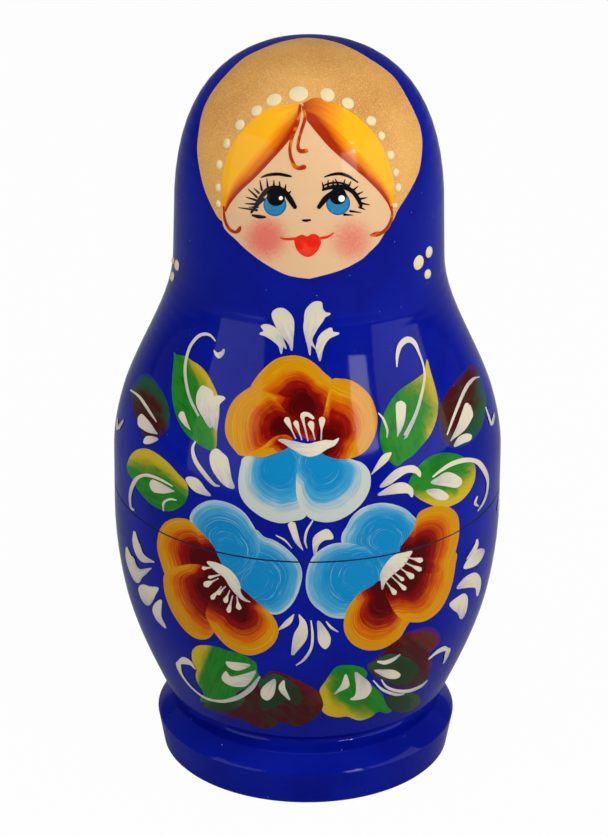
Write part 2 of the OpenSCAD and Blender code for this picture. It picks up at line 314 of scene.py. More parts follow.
# Cream brush strokes, each as points with a half width
STROKES = [
    [(276, 535, 0.5), (285, 540, 0.9), (292, 548, 0.4)],
    [(292, 525, 4), (297, 540, 2.8), (303, 550, 0.4)],
    [(313, 520, 0.6), (307, 530, 1.2), (305, 540, 1.2), (307, 548, 0.5)],
    [(216, 341, 0.6), (211, 335.5, 1.2), (205, 334, 1.7), (198, 337, 1.6), (191, 346, 1.5),
     (187, 358, 1.5), (185.5, 371, 1.6), (187, 385, 1.5), (191, 400, 1.5), (199, 416, 1.2)],
    [(182, 415, 3.5), (186, 423, 2.4), (191, 430, 0.4)],
    [(131, 390, 0.6), (140, 397, 1.0), (149, 410, 1.2), (157, 422, 0.6)],
    [(142, 421, 5), (150, 428, 4), (158, 434, 0.4)],
    [(117.5, 420, 0.5), (118.5, 428, 0.9), (124, 420.5, 0.5)],
    [(173, 486, 0.6), (160, 479, 1.2), (147, 475, 1.6), (138, 478, 1.6), (132.5, 487, 1.4),
     (130.5, 497, 1.2), (131.5, 507, 1.0), (135, 510, 0.6)],
    [(155, 486, 5.5), (165, 489, 4), (175, 491, 0.4)],
    [(177, 500, 0.6), (170, 499, 1.1), (164, 503, 1.2), (164, 511, 0.6)],
    [(196, 441, 0.8), (193, 449, 1.6), (196, 461, 2.2), (205, 474, 2.2), (214, 484, 1.6),
     (220, 486, 0.6)],
    [(396.5, 367, 0.5), (397, 355, 1.8), (400, 345, 2.6), (407, 339.5, 3.2), (414, 343, 2.2),
     (419, 354, 1.2), (423, 366, 1), (424, 378, 1.3), (421, 395, 1.6), (415, 415, 1.8), (405, 436, 2.4)],
    [(400.5, 406, 5.5), (400, 422, 4.2), (397, 437, 0.4)],
    [(378, 413, 0.6), (383, 419, 1.2), (387, 430, 1.2), (386.5, 438, 0.6)],
    [(390, 453.5, 1.6), (384, 459, 4), (371, 474.5, 0.4)],
    [(446.5, 435, 0.7), (452, 420, 1.2), (459, 402, 1.4), (466, 387, 1.4), (473, 379, 1.2),
     (479, 377, 0.6)],
    [(485, 407, 0.5), (488, 416, 0.8), (491, 424, 1.0), (494, 414, 0.5)],
    [(468, 411, 5.5), (461, 426, 4.4), (450, 441, 0.4)],
    [(432, 477, 0.7), (441, 470, 1.5), (452, 463.5, 2.2), (465, 460, 2.4), (476, 461.5, 2.2),
     (483, 469, 1.8), (487, 479, 1.2), (486.5, 491, 1), (483, 502, 0.9), (477, 511, 0.5)],
    [(477, 496, 0.6), (474.5, 503, 1.2), (478, 506, 0.8)],
    [(499, 500, 0.8), (497, 511, 0.6)],
    [(294, 614, 0.5), (288, 622, 3), (278, 630, 0.5)],
    [(299, 614, 0.5), (303, 624, 4), (300, 637, 7), (293, 653, 2)],
    [(311, 620, 0.6), (312.5, 635, 1.4), (311, 648, 1.4), (304, 659, 1.3), (296, 665, 0.6)],
    [(326, 621, 0.6), (331, 627, 1.3), (338, 631.5, 0.6)],
    [(135, 531, 1), (137, 545, 3.5), (143, 557, 3), (155, 562, 0.5)],
    [(127, 547, 1), (131, 562, 4), (139, 573, 5), (152, 568, 0.5)],
    [(476.5, 539, 0.8), (475, 547, 2), (466, 559, 0.5)],
    [(196, 669, 0.4), (190, 662, 2), (184, 660.5, 3), (179, 664, 2), (182, 674, 1), (191, 686, 0.8),
     (203, 696, 0.9), (214, 700, 1), (226, 700.5, 1.5), (240, 696, 2.2), (252, 687, 2.5), (260, 676, 1)],
    [(377, 661, 0.8), (385, 662, 2), (393, 659, 1.8), (400, 654, 0.6)],
    [(373, 680, 0.6), (382, 689, 1.2), (395, 694, 1.2), (404, 693.5, 0.6)],
    [(381, 679, 0.6), (386, 686, 1.2), (395, 690, 1.3), (408, 690.5, 1.3), (420, 686, 1.2),
     (427, 680, 0.6)],
    [(428, 659, 0.6), (436, 652, 1.4), (443, 648.5, 1.8), (447, 650, 2), (446, 656, 1.4),
     (443, 663, 0.6)],
]
STAMENS = [
    (287, 420, 296, 439, 3.2), (296, 423, 302, 440, 2.8), (311, 424, 315, 440, 3.4),
    (322, 420, 321, 440, 3.4), (204, 568, 213, 567, 2.0), (210, 577, 222, 574, 1.8),
    (207, 584, 219, 578, 3.4), (213, 597, 222, 586, 2.6), (219, 593, 226, 586, 2.2),
    (226, 600, 230, 590, 2.8), (229, 610, 233, 595, 2.6), (239, 607, 237, 596, 2.8),
    (420, 560, 406, 557, 2.8), (419, 569, 404, 562, 2.6), (411, 576, 399, 567, 3.2),
    (402, 579, 393, 572, 2.2), (404, 588, 391, 576, 2.4), (394, 592, 386, 582, 2.8),
]
HOOKED_STAMEN = [(313, 418, 1.6), (308, 414.5, 2.2), (303, 415, 2.8), (303, 420, 1.6), (305, 428, 1.0),
 (308, 441, 0.8)]

# Cream shapes, drawn as outlines
SHAPES = [
    [(261.3, 326.3), (266.3, 324.5), (273.8, 327), (280.5, 333.8), (283.8, 341.3), (286.3, 349),
     (283, 346.3), (281.3, 354), (278.8, 346.3), (273.8, 341.3), (266.3, 336.3), (259.7, 333.8),
      (264, 331)],
    [(272.5, 312.5), (277, 308.8), (283.8, 308.8), (290, 313.8), (293.3, 320), (293.8, 327.5),
     (293, 337.5), (291.8, 350.5), (288.8, 343.8), (283.8, 337.5), (278.8, 331.3), (275, 323.8),
      (272.5, 317.5)],
    [(304.5, 320), (305.5, 311.3), (309.5, 305.5), (315, 302), (321.3, 302.5), (322.5, 308.8),
     (325.5, 312.5), (330.5, 313.8), (325, 317), (322.5, 321.3), (318.8, 326.3), (315, 332.5),
     (312, 338.8), (313, 343.8), (315.5, 349), (311, 345), (310, 355.5), (307.5, 345), (305, 335),
      (303.8, 327.5)],
    [(317, 343.8), (318, 338.8), (321.3, 333.8), (326.3, 330), (331.3, 328), (333, 332), (339.2, 333.3),
     (333, 336.3), (328.8, 338.8), (325, 343.8), (322.5, 350), (320, 361), (317.5, 353.8),
      (315.8, 348.8)],
    [(327, 529.5), (333, 538), (324, 540), (318, 546), (315, 556), (313, 545), (315, 536)],
    [(214, 350), (217, 353), (221, 352), (224, 349), (223.5, 354), (219, 358), (215.5, 355)],
    [(197, 395), (200, 388), (204, 386), (213, 393), (213, 412), (211, 428), (203, 417), (197, 405)],
    [(209, 412), (212, 402), (216, 396), (225, 398), (219, 405), (218, 420), (216, 430), (212, 424)],
    [(144, 443), (146, 437), (152, 436.5), (158, 439), (151, 443)],
    [(210, 458), (212, 451), (217, 449), (222, 453), (227, 458), (229, 466), (231, 478), (234, 488),
     (226, 486), (218, 478), (212, 468)],
    [(186, 479), (189, 477), (196, 478.5), (201, 483), (205, 489), (210.5, 495.5), (202, 494), (195, 491),
     (189, 485)],
    [(380, 487), (388, 477), (396, 470), (405, 466.5), (414, 466), (420, 471), (420, 477), (415, 473),
     (407, 472.5), (398, 478), (390, 484)],
    [(378, 495), (386, 489), (395, 484), (404, 483), (411, 487), (413, 491), (412, 497), (408, 493),
     (400, 493), (390, 494)],
    [(454, 446.5), (458, 438), (465, 434), (471, 435), (470, 440), (463, 443)],
    [(431, 483), (438, 477), (446, 472.5), (454, 474), (461, 479), (461, 484), (456, 487.5), (446, 486)],
    [(426, 491), (433, 489), (441, 490), (448, 495), (447, 499), (442, 500), (434, 498)],
    [(318, 621), (324, 627), (330, 637), (329, 645), (324.5, 648.5), (319, 642), (318, 632)],
    [(139, 590), (140, 586), (144, 585), (150, 587), (158, 588), (155, 595), (151, 603), (147, 605),
     (142, 599)],
    [(161, 600), (155, 604), (153, 610), (156, 618), (160, 623), (166, 628), (161, 617), (161, 607)],
    [(464, 568), (468, 560), (475, 552), (480, 549), (484, 550), (482, 557), (477, 564), (470, 567.5)],
    [(457, 588), (465, 578), (475, 573), (480, 578), (480, 587), (477, 596), (476, 588), (470, 587),
     (462, 588)],
    [(450, 604), (457, 598), (464, 594), (467, 597), (467, 605), (465, 613), (461, 619), (458, 613),
     (453, 609)],
    [(226, 662), (229, 661.5), (250, 664.5), (243, 669), (236, 670), (229, 667)],
    [(226, 671), (222, 678), (228, 684), (238, 686.5), (248, 684), (256, 671), (246, 673.5), (236, 676),
     (230, 676)],
    [(275, 679), (275, 690), (272, 697), (267, 700), (262, 697), (261, 691), (265, 685)],
    [(284, 680), (279, 686), (281, 692), (290, 700), (287, 692), (285, 687)],
    [(374, 670), (384, 669.5), (394, 670), (400, 674), (398, 677.5), (391, 678.5), (383, 676)],
    [(345.5, 674), (349, 682), (348, 687), (340, 691), (334, 694), (341, 685)],
    [(355, 672), (363, 677), (370, 684), (371, 690), (366, 697), (357, 699.5), (350, 699), (355, 695),
     (356, 685)],
]

# Spray on the back: leaves, strokes and shapes of the front by their number, moved across and down
BACK_LEAVES = [(0, 69, 30), (3, -58, 10), (2, 97, 40), (5, -82, 40)]
BACK_STROKES = [
    (0, 5, 40), (1, 5, 40), (2, 5, 40), (3, 69, 30), (4, 69, 30), (8, 97, 40), (9, 97, 40), (12, -58, 10),
    (13, -58, 10), (19, -82, 40),
]
BACK_SHAPES = [
    (0, 8, 62), (1, 8, 62), (2, 8, 62), (3, 8, 62), (4, -4, 60), (6, 69, 30), (7, 69, 30), (14, -82, 40),
]

# Heights of the coats of paint, counted in layers over the lacquer ground
COAT = {
    "kerchief": 3, "face": 4, "hair": 5, "iris": 5, "pupil": 6, "lips": 5, "eye_light": 8, "ink": 7,
    "curls": 7, "beads": 4, "leaf": 2, "petal": 2, "collar": 8, "shape": 9, "stroke": 9,
}
LEAF_STEP = 0.3


def linear(text):
    """Linear colour of a colour written as #rrggbb."""
    parts = [int(text[i:i + 2], 16) / 255 for i in (1, 3, 5)]
    return tuple(c / 12.92 if c <= 0.04045 else ((c + 0.055) / 1.055) ** 2.4 for c in parts)


def paint(name, text, description):
    """A colour that a user may change."""
    return FloatVectorProperty(name=name, description=description, subtype="COLOR", size=3, min=0, max=1,
                               default=linear(text))


def length(name, description, default, least=0.0):
    """A length that a user may change."""
    return FloatProperty(name=name, description=description, subtype="DISTANCE", unit="LENGTH", min=least,
                         default=default)


class DollColours(bpy.types.PropertyGroup):
    """Paints of the doll."""

    ground: paint("Ground", "#05168b", "Blue lacquer that covers the turned wood")
    ground_deep: paint("Deep ground", "#030f7c", "Darker patches of the blue lacquer")
    # Joint line: near-black painted shade of the gap where the halves meet
    joint: paint("Joint line", "#070820", "Rubbed edge where the halves meet")
    wood: paint("Bare wood", "#d8b98a", "Lime wood inside the halves")
    wood_dark: paint("Late wood", "#b78d5a", "Darker lines of the lime wood")
    gold: paint("Kerchief gold", "#d8a258", "Gold of the kerchief's front")
    gold_glint: paint("Gold glint", "#f3d694", "Bright flakes in the gold")
    gold_dark: paint("Gold shade", "#be8345", "Dark flakes in the gold")
    face: paint("Face", "#dab78d", "Warm skin tone of the face")
    blush: paint("Blush", "#d8705f", "Rouge on the cheeks")
    hair_light: paint("Light hair", "#f0ad1c", "Yellow of the hair")
    hair_mid: paint("Middle hair", "#e27a10", "Orange of the hair")
    hair_deep: paint("Deep hair", "#a02a0a", "Red-brown of the hair")
    ink: paint("Ink", "#08080a", "Brows, lashes and pupils")
    iris: paint("Iris", "#1c76a8", "Blue of the eyes")
    lips: paint("Lips", "#e2200d", "Red of the mouth")
    petal_core: paint("Petal core", "#470203", "Heart of a warm petal")
    petal_red: paint("Petal red", "#860d06", "Red ring of a warm petal")
    petal_orange: paint("Petal orange", "#bc4c03", "Orange ring of a warm petal")
    petal_rim: paint("Petal rim", "#c28206", "Golden rim of a warm petal")
    petal_light: paint("Petal streak", "#d2a51a", "Light streaks in the golden rim")
    petal_dark: paint("Petal dark streak", "#94540a", "Dark streaks in the golden rim")
    blue_core: paint("Blue petal", "#0d7ab0", "Body of a blue petal")
    blue_ring: paint("Blue petal ring", "#3d92b8", "Paler ring of a blue petal")
    blue_streak: paint("Blue petal streak", "#86b4c4", "Pale lines in a blue petal")
    blue_rim: paint("Blue petal rim", "#b6bcb2", "Cream rim of a blue petal")
    leaf_green: paint("Leaf green", "#1f7a20", "Green of the bright leaves")
    leaf_deep: paint("Deep leaf green", "#0b4f18", "Shaded green of the leaves")
    leaf_yellow: paint("Leaf yellow", "#bfa51e", "Yellow of the bright leaves")
    leaf_ochre: paint("Leaf ochre", "#a88806", "Shaded yellow of the bright leaves")
    leaf_maroon: paint("Leaf maroon", "#430c12", "Maroon of the dark leaves")
    leaf_red: paint("Leaf red", "#6c0a10", "Red rim of the maroon leaves")
    leaf_dark: paint("Dark leaf green", "#1d4d31", "Green of the dark leaves")
    leaf_dusk: paint("Leaf shade", "#123a20", "Dark green shade of the dark leaves")
    cream: paint("Cream", "#d0c7b0", "Brush strokes, collars and stamens")
    cream_thin: paint("Thin cream", "#9492a2", "Where a stroke runs thin over the blue")
    bead: paint("Bead", "#dfcda2", "Raised dots along the kerchief")
    ink_thin: paint("Thin ink", "#23252c", "Where the ink runs thin")
    iris_rim: paint("Iris rim", "#0d3f63", "Dark edge of the eyes' blue")
    iris_light: paint("Iris streak", "#5aa3c8", "Pale streaks in the eyes' blue")
    lips_light: paint("Lip streak", "#f0583a", "Light streaks in the red of the mouth")
    eye_light: paint("Eye light", "#f2efe8", "Light dots in the eyes")
    eye_shade: paint("Eye light shade", "#b9c4cc", "Cooler patches of the light dots")
    dust: paint("Dust", "#c9c6c2", "Specks of dust in the lacquer")
    floor: paint("Floor", "#a8a8aa", "Studio floor and backdrop")


class DollSizes(bpy.types.PropertyGroup):
    """Sizes of the finish."""

    coat: length("Coat", "Height of one coat of paint", 0.02 * MM)
    build: length("Build", "Room that the paint takes up inside the CAD outline", 0.27 * MM)
    bury: length("Bury", "Depth of a painted patch below the lacquer ground", 0.1 * MM)
    bead_height: length("Bead height", "Height of a raised dot", 0.45 * MM)
    stroke_relief: FloatProperty(name="Stroke relief", default=0.035, min=0, max=1, subtype="FACTOR",
                                 description="Height of a stroke as a share of its half width")
    cell: FloatProperty(name="Cell", description="Mesh cell of painted patches, in pixels of the photograph",
                        default=2.4, min=1, max=20)
    sides: IntProperty(name="Sides", description="Segments around the outer doll", default=192, min=24,
                       max=512)
    floor_size: length("Floor size", "Width of the studio floor", 6.0, 1.0)


def colours():
    """The doll's paints."""
    return bpy.context.scene.doll_colours


def sizes():
    """The sizes of the finish."""
    return bpy.context.scene.doll_sizes


class Value:
    """A shader socket. Arithmetic on it adds Math nodes."""

    def __init__(self, finish, socket):
        self.finish = finish
        self.socket = socket

    def math(self, operation, first, second):
        return self.finish.node("ShaderNodeMath", {"operation": operation}, {0: first, 1: second})

    def __add__(self, other):
        return self.math("ADD", self, other)

    def __radd__(self, other):
        return self.math("ADD", other, self)

    def __sub__(self, other):
        return self.math("SUBTRACT", self, other)

    def __rsub__(self, other):
        return self.math("SUBTRACT", other, self)

    def __mul__(self, other):
        return self.math("MULTIPLY", self, other)

    def __rmul__(self, other):
        return self.math("MULTIPLY", other, self)


class Finish:
    """Builds one material from nodes."""

    def __init__(self, name):
        self.material = bpy.data.materials.new(name)
        self.material.use_nodes = True
        self.tree = self.material.node_tree
        self.tree.nodes.clear()

    def node(self, kind, settings=None, values=None, out=0):
        """Adds a node: first its settings, then the values or links of its sockets."""
        made = self.tree.nodes.new(kind)
        for key, value in (settings or {}).items():
            if key == "stops":
                self.set_stops(made.color_ramp, value)
            else:
                setattr(made, key, value)
        for key, value in (values or {}).items():
            if isinstance(value, Value):
                self.tree.links.new(value.socket, made.inputs[key])
            else:
                made.inputs[key].default_value = value
        return Value(self, made.outputs[out]) if made.outputs else None

    @staticmethod
    def set_stops(ramp, stops):
        while len(ramp.elements) > 1:
            ramp.elements.remove(ramp.elements[-1])
        for i, (place, colour) in enumerate(stops):
            element = ramp.elements[0] if i == 0 else ramp.elements.new(place)
            element.position = place
            element.color = (*colour, 1)

    def place(self):
        return self.node("ShaderNodeTexCoord", out="Object")

    def brush(self):
        return self.node("ShaderNodeAttribute", {"attribute_name": "brush"}, out="Vector")

    def tone(self):
        return self.node("ShaderNodeAttribute", {"attribute_name": "tone"}, out="Fac")

    def part(self, vector, axis):
        return self.node("ShaderNodeSeparateXYZ", None, {0: vector}, out=axis)

    def stretch(self, vector, scale):
        return self.node("ShaderNodeVectorMath", {"operation": "MULTIPLY"}, {0: vector, 1: scale})

    def noise(self, vector, scale, detail=3.0, roughness=0.5, distortion=0.0):
        return self.node("ShaderNodeTexNoise", None, {
            "Vector": vector, "Scale": scale, "Detail": detail, "Roughness": roughness,
            "Distortion": distortion})

    def flakes(self, vector, scale):
        return self.node("ShaderNodeTexVoronoi", None, {"Vector": vector, "Scale": scale}, out="Color")

    def blend(self, share, first, second):
        def rgba(colour):
            return colour if isinstance(colour, Value) else (*colour, 1)
        return self.node("ShaderNodeMix", {"data_type": "RGBA"},
                         {0: share, 6: rgba(first), 7: rgba(second)}, out=2)

    def ramp(self, share, stops):
        return self.node("ShaderNodeValToRGB", {"stops": stops}, {0: share})

    def between(self, value, low, high):
        """Smooth step of a value from 0 at low to 1 at high."""
        return self.node("ShaderNodeMapRange", {"interpolation_type": "SMOOTHSTEP"},
                         {0: value, 1: low, 2: high})

    def bump(self, height, distance, strength=1.0):
        return self.node("ShaderNodeBump", None,
                         {"Height": height, "Distance": distance, "Strength": strength})

    def surface(self, colour, roughness, normal=None, specular=0.2):
        values = {"Base Color": colour, "Roughness": roughness, "IOR": 1.5, "Specular IOR Level": specular}
        if normal:
            values["Normal"] = normal
        shader = self.node("ShaderNodeBsdfPrincipled", None, values)
        self.node("ShaderNodeOutputMaterial", None, {"Surface": shader})
        return self.material

    def lacquered(self, colour, specular=0.08, extra=None, gloss=0.05):
        """Any paint under the clear lacquer: a little dust, and the slow waves of a brushed coat."""
        place = self.place()
        wave = self.noise(place, 60.0, 2.0) + 0.12 * self.noise(place, 900.0, 2.0)
        if extra is not None:
            wave = wave + extra
        dust = self.between(self.noise(place, 1300.0, 1.0), 0.79, 0.85)
        dusty = self.blend(0.4 * dust, colour, colours().dust)
        roughness = gloss + 0.06 * self.noise(place, 140.0, 2.0) + 0.3 * dust
        return self.surface(dusty, roughness, self.bump(wave, 0.05 * MM, 0.3), specular)


def finish_ground():
    f = Finish("blue_lacquer")
    c = colours()
    cloud = f.noise(f.place(), 45.0, 3.0, 0.55)
    return f.lacquered(f.blend(f.between(cloud, 0.35, 0.7), c.ground, c.ground_deep))


def finish_joint():
    # The seam's band is painted shade of the gap between the halves, mottled at random towards the deep blue
    f = Finish("joint_painted_shade")
    c = colours()
    shade_mottle = f.noise(f.place(), 400.0, 3.0)
    return f.surface(f.blend(f.between(shade_mottle, 0.5, 0.8), c.joint, c.ground_deep), 0.55 + 0.2 * shade_mottle)


def finish_wood():
    """Bare lime wood with turning marks and grain along the axis."""
    f = Finish("bare_lime_wood")
    c = colours()
    place = f.place()
    grain = f.noise(f.stretch(place, (260.0, 260.0, 14.0)), 1.0, 4.0, 0.6, 0.3)
    turning = f.noise(f.stretch(place, (0.0, 0.0, 2600.0)), 1.0, 2.0)
    share = f.between(0.75 * grain + 0.25 * turning, 0.38, 0.66)
    return f.surface(f.blend(share, c.wood, c.wood_dark), 0.5 + 0.2 * grain,
                     f.bump(0.6 * turning + 0.4 * grain, 0.06 * MM), specular=0.3)


def finish_gold():
    """Gold paint with fine flakes of glitter."""
    f = Finish("kerchief_gold")
    c = colours()
    place = f.place()
    flake = f.part(f.flakes(place, 5200.0), "X")
    cloud = f.noise(place, 55.0, 3.0)
    fine = f.noise(place, 2600.0, 2.0)
    base = f.blend(f.between(0.5 * cloud + 0.5 * fine, 0.3, 0.62), c.gold_dark, c.gold)
    # The flakes are glitter in the gold; their bright colour is painted glint of that glitter
    gold = f.blend(0.38 * f.between(flake, 0.8, 1.0), base, c.gold_glint)
    return f.lacquered(gold, 0.06, 0.3 * flake, 0.22)


def finish_face():
    """Skin tone with rouge where the tone attribute asks for it, dabbed on with a dry brush."""
    f = Finish("painted_face")
    c = colours()
    place = f.place()
    mottle = f.noise(place, 260.0, 3.0)
    dabs = f.noise(place, 1500.0, 2.0, 0.6)
    rouge = f.between(f.tone() + 0.5 * (dabs - 0.5), 0.05, 0.95)
    warm = f.blend(0.16 * mottle, c.face, c.hair_mid)
    return f.lacquered(f.blend(rouge, warm, c.blush))


def finish_hair():
    """Hair shaded from yellow over orange to red-brown as the tone attribute says, with fine strands."""
    f = Finish("painted_hair")
    c = colours()
    strands = f.noise(f.stretch(f.brush(), (9.0, 0.8, 1.0)), 1.0, 4.0, 0.6, 0.3)
    share = f.tone() + 0.34 * (strands - 0.5)
    return f.lacquered(f.ramp(share, [(0.0, c.hair_light), (0.3, c.hair_light), (0.58, c.hair_mid),
                                      (0.9, c.hair_deep), (1.0, c.hair_deep)]))


def finish_curl():
    f = Finish("hair_curl")
    c = colours()
    thin = f.noise(f.place(), 500.0, 3.0)
    return f.lacquered(f.blend(f.between(thin, 0.45, 0.75), c.hair_deep, c.hair_mid))


def finish_ink():
    f = Finish("black_ink")
    c = colours()
    thin = f.noise(f.place(), 700.0, 2.0)
    return f.lacquered(f.blend(0.25 * thin, c.ink, c.ink_thin))


def finish_iris():
    f = Finish("iris_blue")
    c = colours()
    streak = f.noise(f.stretch(f.brush(), (7.0, 7.0, 1.0)), 1.0, 2.0)
    ring = f.part(f.brush(), "Z")
    shade = f.blend(f.between(ring, 0.8, 1.0), c.iris, c.iris_rim)
    return f.lacquered(f.blend(0.2 * streak, shade, c.iris_light))


def finish_lips():
    f = Finish("lip_red")
    c = colours()
    streak = f.noise(f.place(), 420.0, 3.0)
    return f.lacquered(f.blend(0.4 * f.between(streak, 0.45, 0.75), c.lips, c.lips_light))


def brush_rings(f, brush, count):
    """Fine rings left by the bristles of a brush that was turned about a petal's base."""
    return f.noise(f.stretch(brush, (0.7, 0.7, count)), 1.0, 4.0, 0.65, 0.25)


def finish_warm(name, lift):
    """A warm petal: rings of loaded brush from a dark heart to a golden rim, broader with the lift."""
    f = Finish(name)
    c = colours()
    brush = f.brush()
    ring = f.part(brush, "Z")
    rings = brush_rings(f, brush, 22.0)
    patches = f.noise(f.stretch(brush, (2.2, 2.2, 2.5)), 1.0, 2.0)
    share = ring + 0.36 * (rings - 0.5) + 0.16 * (patches - 0.5) + lift
    body = f.ramp(share, [(0.0, c.petal_core), (0.2, c.petal_core), (0.42, c.petal_red),
                          (0.6, c.petal_orange), (0.76, c.petal_rim), (1.0, c.petal_rim)])
    outer = f.between(ring, 0.4, 0.8)
    light = f.between(brush_rings(f, brush, 34.0), 0.53, 0.7) * outer
    dark = f.between(brush_rings(f, f.stretch(brush, (1.6, 1.6, 1.0)), 47.0), 0.56, 0.74) * outer
    streaked = f.blend(0.5 * dark, f.blend(0.7 * light, body, c.petal_light), c.petal_dark)
    return f.lacquered(streaked, extra=0.4 * rings)


def finish_blue(name, lift, lined):
    """A blue petal: clear blue heart, paler rings and a pale rim, the rim broader with the lift."""
    f = Finish(name)
    c = colours()
    brush = f.brush()
    ring = f.part(brush, "Z")
    rings = brush_rings(f, brush, 20.0)
    patches = f.noise(f.stretch(brush, (1.6, 1.6, 2.0)), 1.0, 2.0)
    share = ring + 0.42 * (rings - 0.5) + 0.2 * (patches - 0.5) + lift
    body = f.ramp(share, [(0.0, c.blue_core), (0.5, c.blue_core), (0.72, c.blue_ring), (0.92, c.blue_rim),
                          (1.0, c.blue_rim)])
    lines = f.between(brush_rings(f, brush, 38.0), 0.55, 0.7) * f.between(ring, 0.15, 0.5)
    return f.lacquered(f.blend(lined * lines, body, c.blue_streak), extra=0.4 * rings)


def finish_leaf(name, first, second, dark, fade=None):
    """A leaf of two colours laid with one brush, the second along the rim where the tone attribute says."""
    f = Finish(name)
    brush = f.brush()
    ring = f.part(brush, "Z")
    streak = f.noise(f.stretch(brush, (2.6, 1.6, 0.0)), 1.0, 3.0, 0.6, 0.8)
    hairs = f.noise(f.stretch(brush, (4.5, 1.6, 0.0)), 1.0, 3.0, 0.6, 1.2)
    side = f.tone() * (0.4 + 0.75 * ring * ring)
    share = f.between(side + 0.9 * (streak - 0.5) + 0.35 * (hairs - 0.5), 0.2, 0.85)
    deep = f.between(0.5 * hairs + 0.5 * streak, 0.42, 0.66)
    if fade is None:
        ochre = colours().leaf_ochre
        colour = f.blend(share, f.blend(0.6 * deep, first, dark), f.blend(0.4 * deep, second, ochre))
    else:
        colour = f.blend(share, f.blend(0.5 * deep, first, dark), f.blend(0.5 * deep, second, dark))
        rim = f.between(ring + 0.25 * (streak - 0.5), 0.82, 1.06)
        colour = f.blend(0.8 * rim, colour, fade)
    return f.lacquered(colour, extra=0.3 * hairs)


def finish_cream(name, colour, raised):
    """Cream paint with the marks of the bristles, thinning towards the end of a stroke."""
    f = Finish(name)
    brush = f.brush()
    across = 0.6 * f.node("ShaderNodeAttribute", {"attribute_name": "across"}, out="Fac") + f.part(brush, "X")
    way = f.node("ShaderNodeCombineXYZ", None, {0: across, 1: f.part(brush, "Y")})
    bristles = f.noise(f.stretch(way, (4.0, 1.2, 0.0)), 1.0, 3.0, 0.65, 0.3)
    patchy = f.noise(f.place(), 420.0, 3.0, 0.6)
    thin = f.between(0.42 * f.tone() + 0.55 * bristles + 0.25 * patchy, 0.5, 0.95)
    return f.lacquered(f.blend(0.85 * thin, colour, colours().cream_thin), extra=raised * bristles)


def finish_light():
    f = Finish("eye_light")
    c = colours()
    return f.lacquered(f.blend(0.2 * f.noise(f.place(), 500.0), c.eye_light, c.eye_shade))


finishes = {}


def finish(name):
    """The material of that name, made once."""
    if not finishes:
        c = colours()
        finishes.update({
            "ground": finish_ground(), "joint": finish_joint(), "wood": finish_wood(), "gold": finish_gold(),
            "face": finish_face(), "hair": finish_hair(), "ink": finish_ink(), "iris": finish_iris(),
            "lips": finish_lips(), "curl": finish_curl(), "warm": finish_warm("warm_petal", 0.04),
            "fold": finish_warm("folded_petal", 0.3),
            "low_warm": finish_warm("low_warm_petal", -0.1),
            "cream_blue": finish_blue("cream_rimmed_petal", 0.08, 0.4),
            "sky_blue": finish_blue("sky_blue_petal", -0.13, 0.7),
            "bright": finish_leaf("bright_leaf", c.leaf_green, c.leaf_yellow, c.leaf_deep),
            "dark": finish_leaf("dark_leaf", c.leaf_maroon, c.leaf_dark, c.leaf_dusk, c.ground),
            "red": finish_leaf("maroon_leaf", c.leaf_maroon, c.leaf_red, c.leaf_dusk, c.ground),
            "dusk": finish_leaf("dusk_leaf", c.leaf_dusk, c.leaf_dark, c.leaf_maroon, c.leaf_maroon),
            "cream": finish_cream("cream_stroke", c.cream, 0.3),
            "bead": finish_cream("bead_cream", c.bead, 0.1),
            "light": finish_light(),
        })
    return finishes[name]


class Doll:
    """One doll of the set: its share of the outer doll's size, where it stands and what it is made of."""

    def __init__(self, name):
        self.name = name
        if name == "smallest":
            self.nodes = {"whole": "smallest_doll"}
        else:
            self.nodes = {half: f"{name}_doll_{half}" for half in ("bottom", "top")}
        boxes = [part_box(node) for node in self.nodes.values()]
        self.stand = boxes[0][0].z
        self.height = boxes[-1][1].z - self.stand
        self.share = 1.0
        self.joint = boxes[-1][0].z if "top" in self.nodes else None


def doll_set():
    """The dolls from the largest to the smallest."""
    dolls = [Doll(name) for name in (*HOLLOW_DOLLS, "smallest")]
    for doll in dolls:
        doll.share = doll.height / dolls[0].height
    return dolls


# Places nearer than this count as one, and faces smaller than this as flat
TOUCH = 1e-6
FLAT_AREA = 1e-13


def section_of(node):
    """Half section of a turned CAD node: (radius, height) corners in order from its outer lower edge."""
    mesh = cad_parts[node].data
    cut = {v.index: (round(v.co.x, 6), round(v.co.z, 6)) for v in mesh.vertices
           if abs(v.co.y) < TOUCH and v.co.x > -TOUCH}
    beside = {}
    for edge in mesh.edges:
        a, b = (cut.get(i) for i in edge.vertices)
        if a and b and a != b:
            beside.setdefault(a, set()).add(b)
            beside.setdefault(b, set()).add(a)
    left = set(cut.values())
    here = min(left, key=lambda corner: (corner[1], -corner[0]))
    corners = []
    while here:
        corners.append(here)
        left.discard(here)
        ahead = [c for c in beside.get(here, ()) if c in left]
        ahead = ahead or [c for c in left if c[1] == here[1] or c[0] == here[0] == 0]
        here = min(ahead, key=lambda c: math.dist(c, here)) if ahead else None
    return corners


def smooth_run(points, steps):
    """Points of a smooth curve through the given ones."""
    p = np.array(points, float)
    if len(p) < 3:
        return p
    ends = np.vstack([2 * p[0] - p[1], p, 2 * p[-1] - p[-2]])
    t = (np.arange(steps) / steps)[:, None]
    made = []
    for a, b, c, d in zip(ends, ends[1:], ends[2:], ends[3:]):
        made.append(b + 0.5 * t * (c - a + t * (2 * a - 5 * b + 4 * c - d + t * (3 * (b - c) + d - a))))
    return np.vstack([*made, p[-1:]])


# Turn from which a corner is an edge, and the size and steps of the edge's rounding
CREASE = math.radians(11)
EDGE_ROUND = 0.45 * MM
EDGE_STEPS = np.linspace(0, 1, 6)


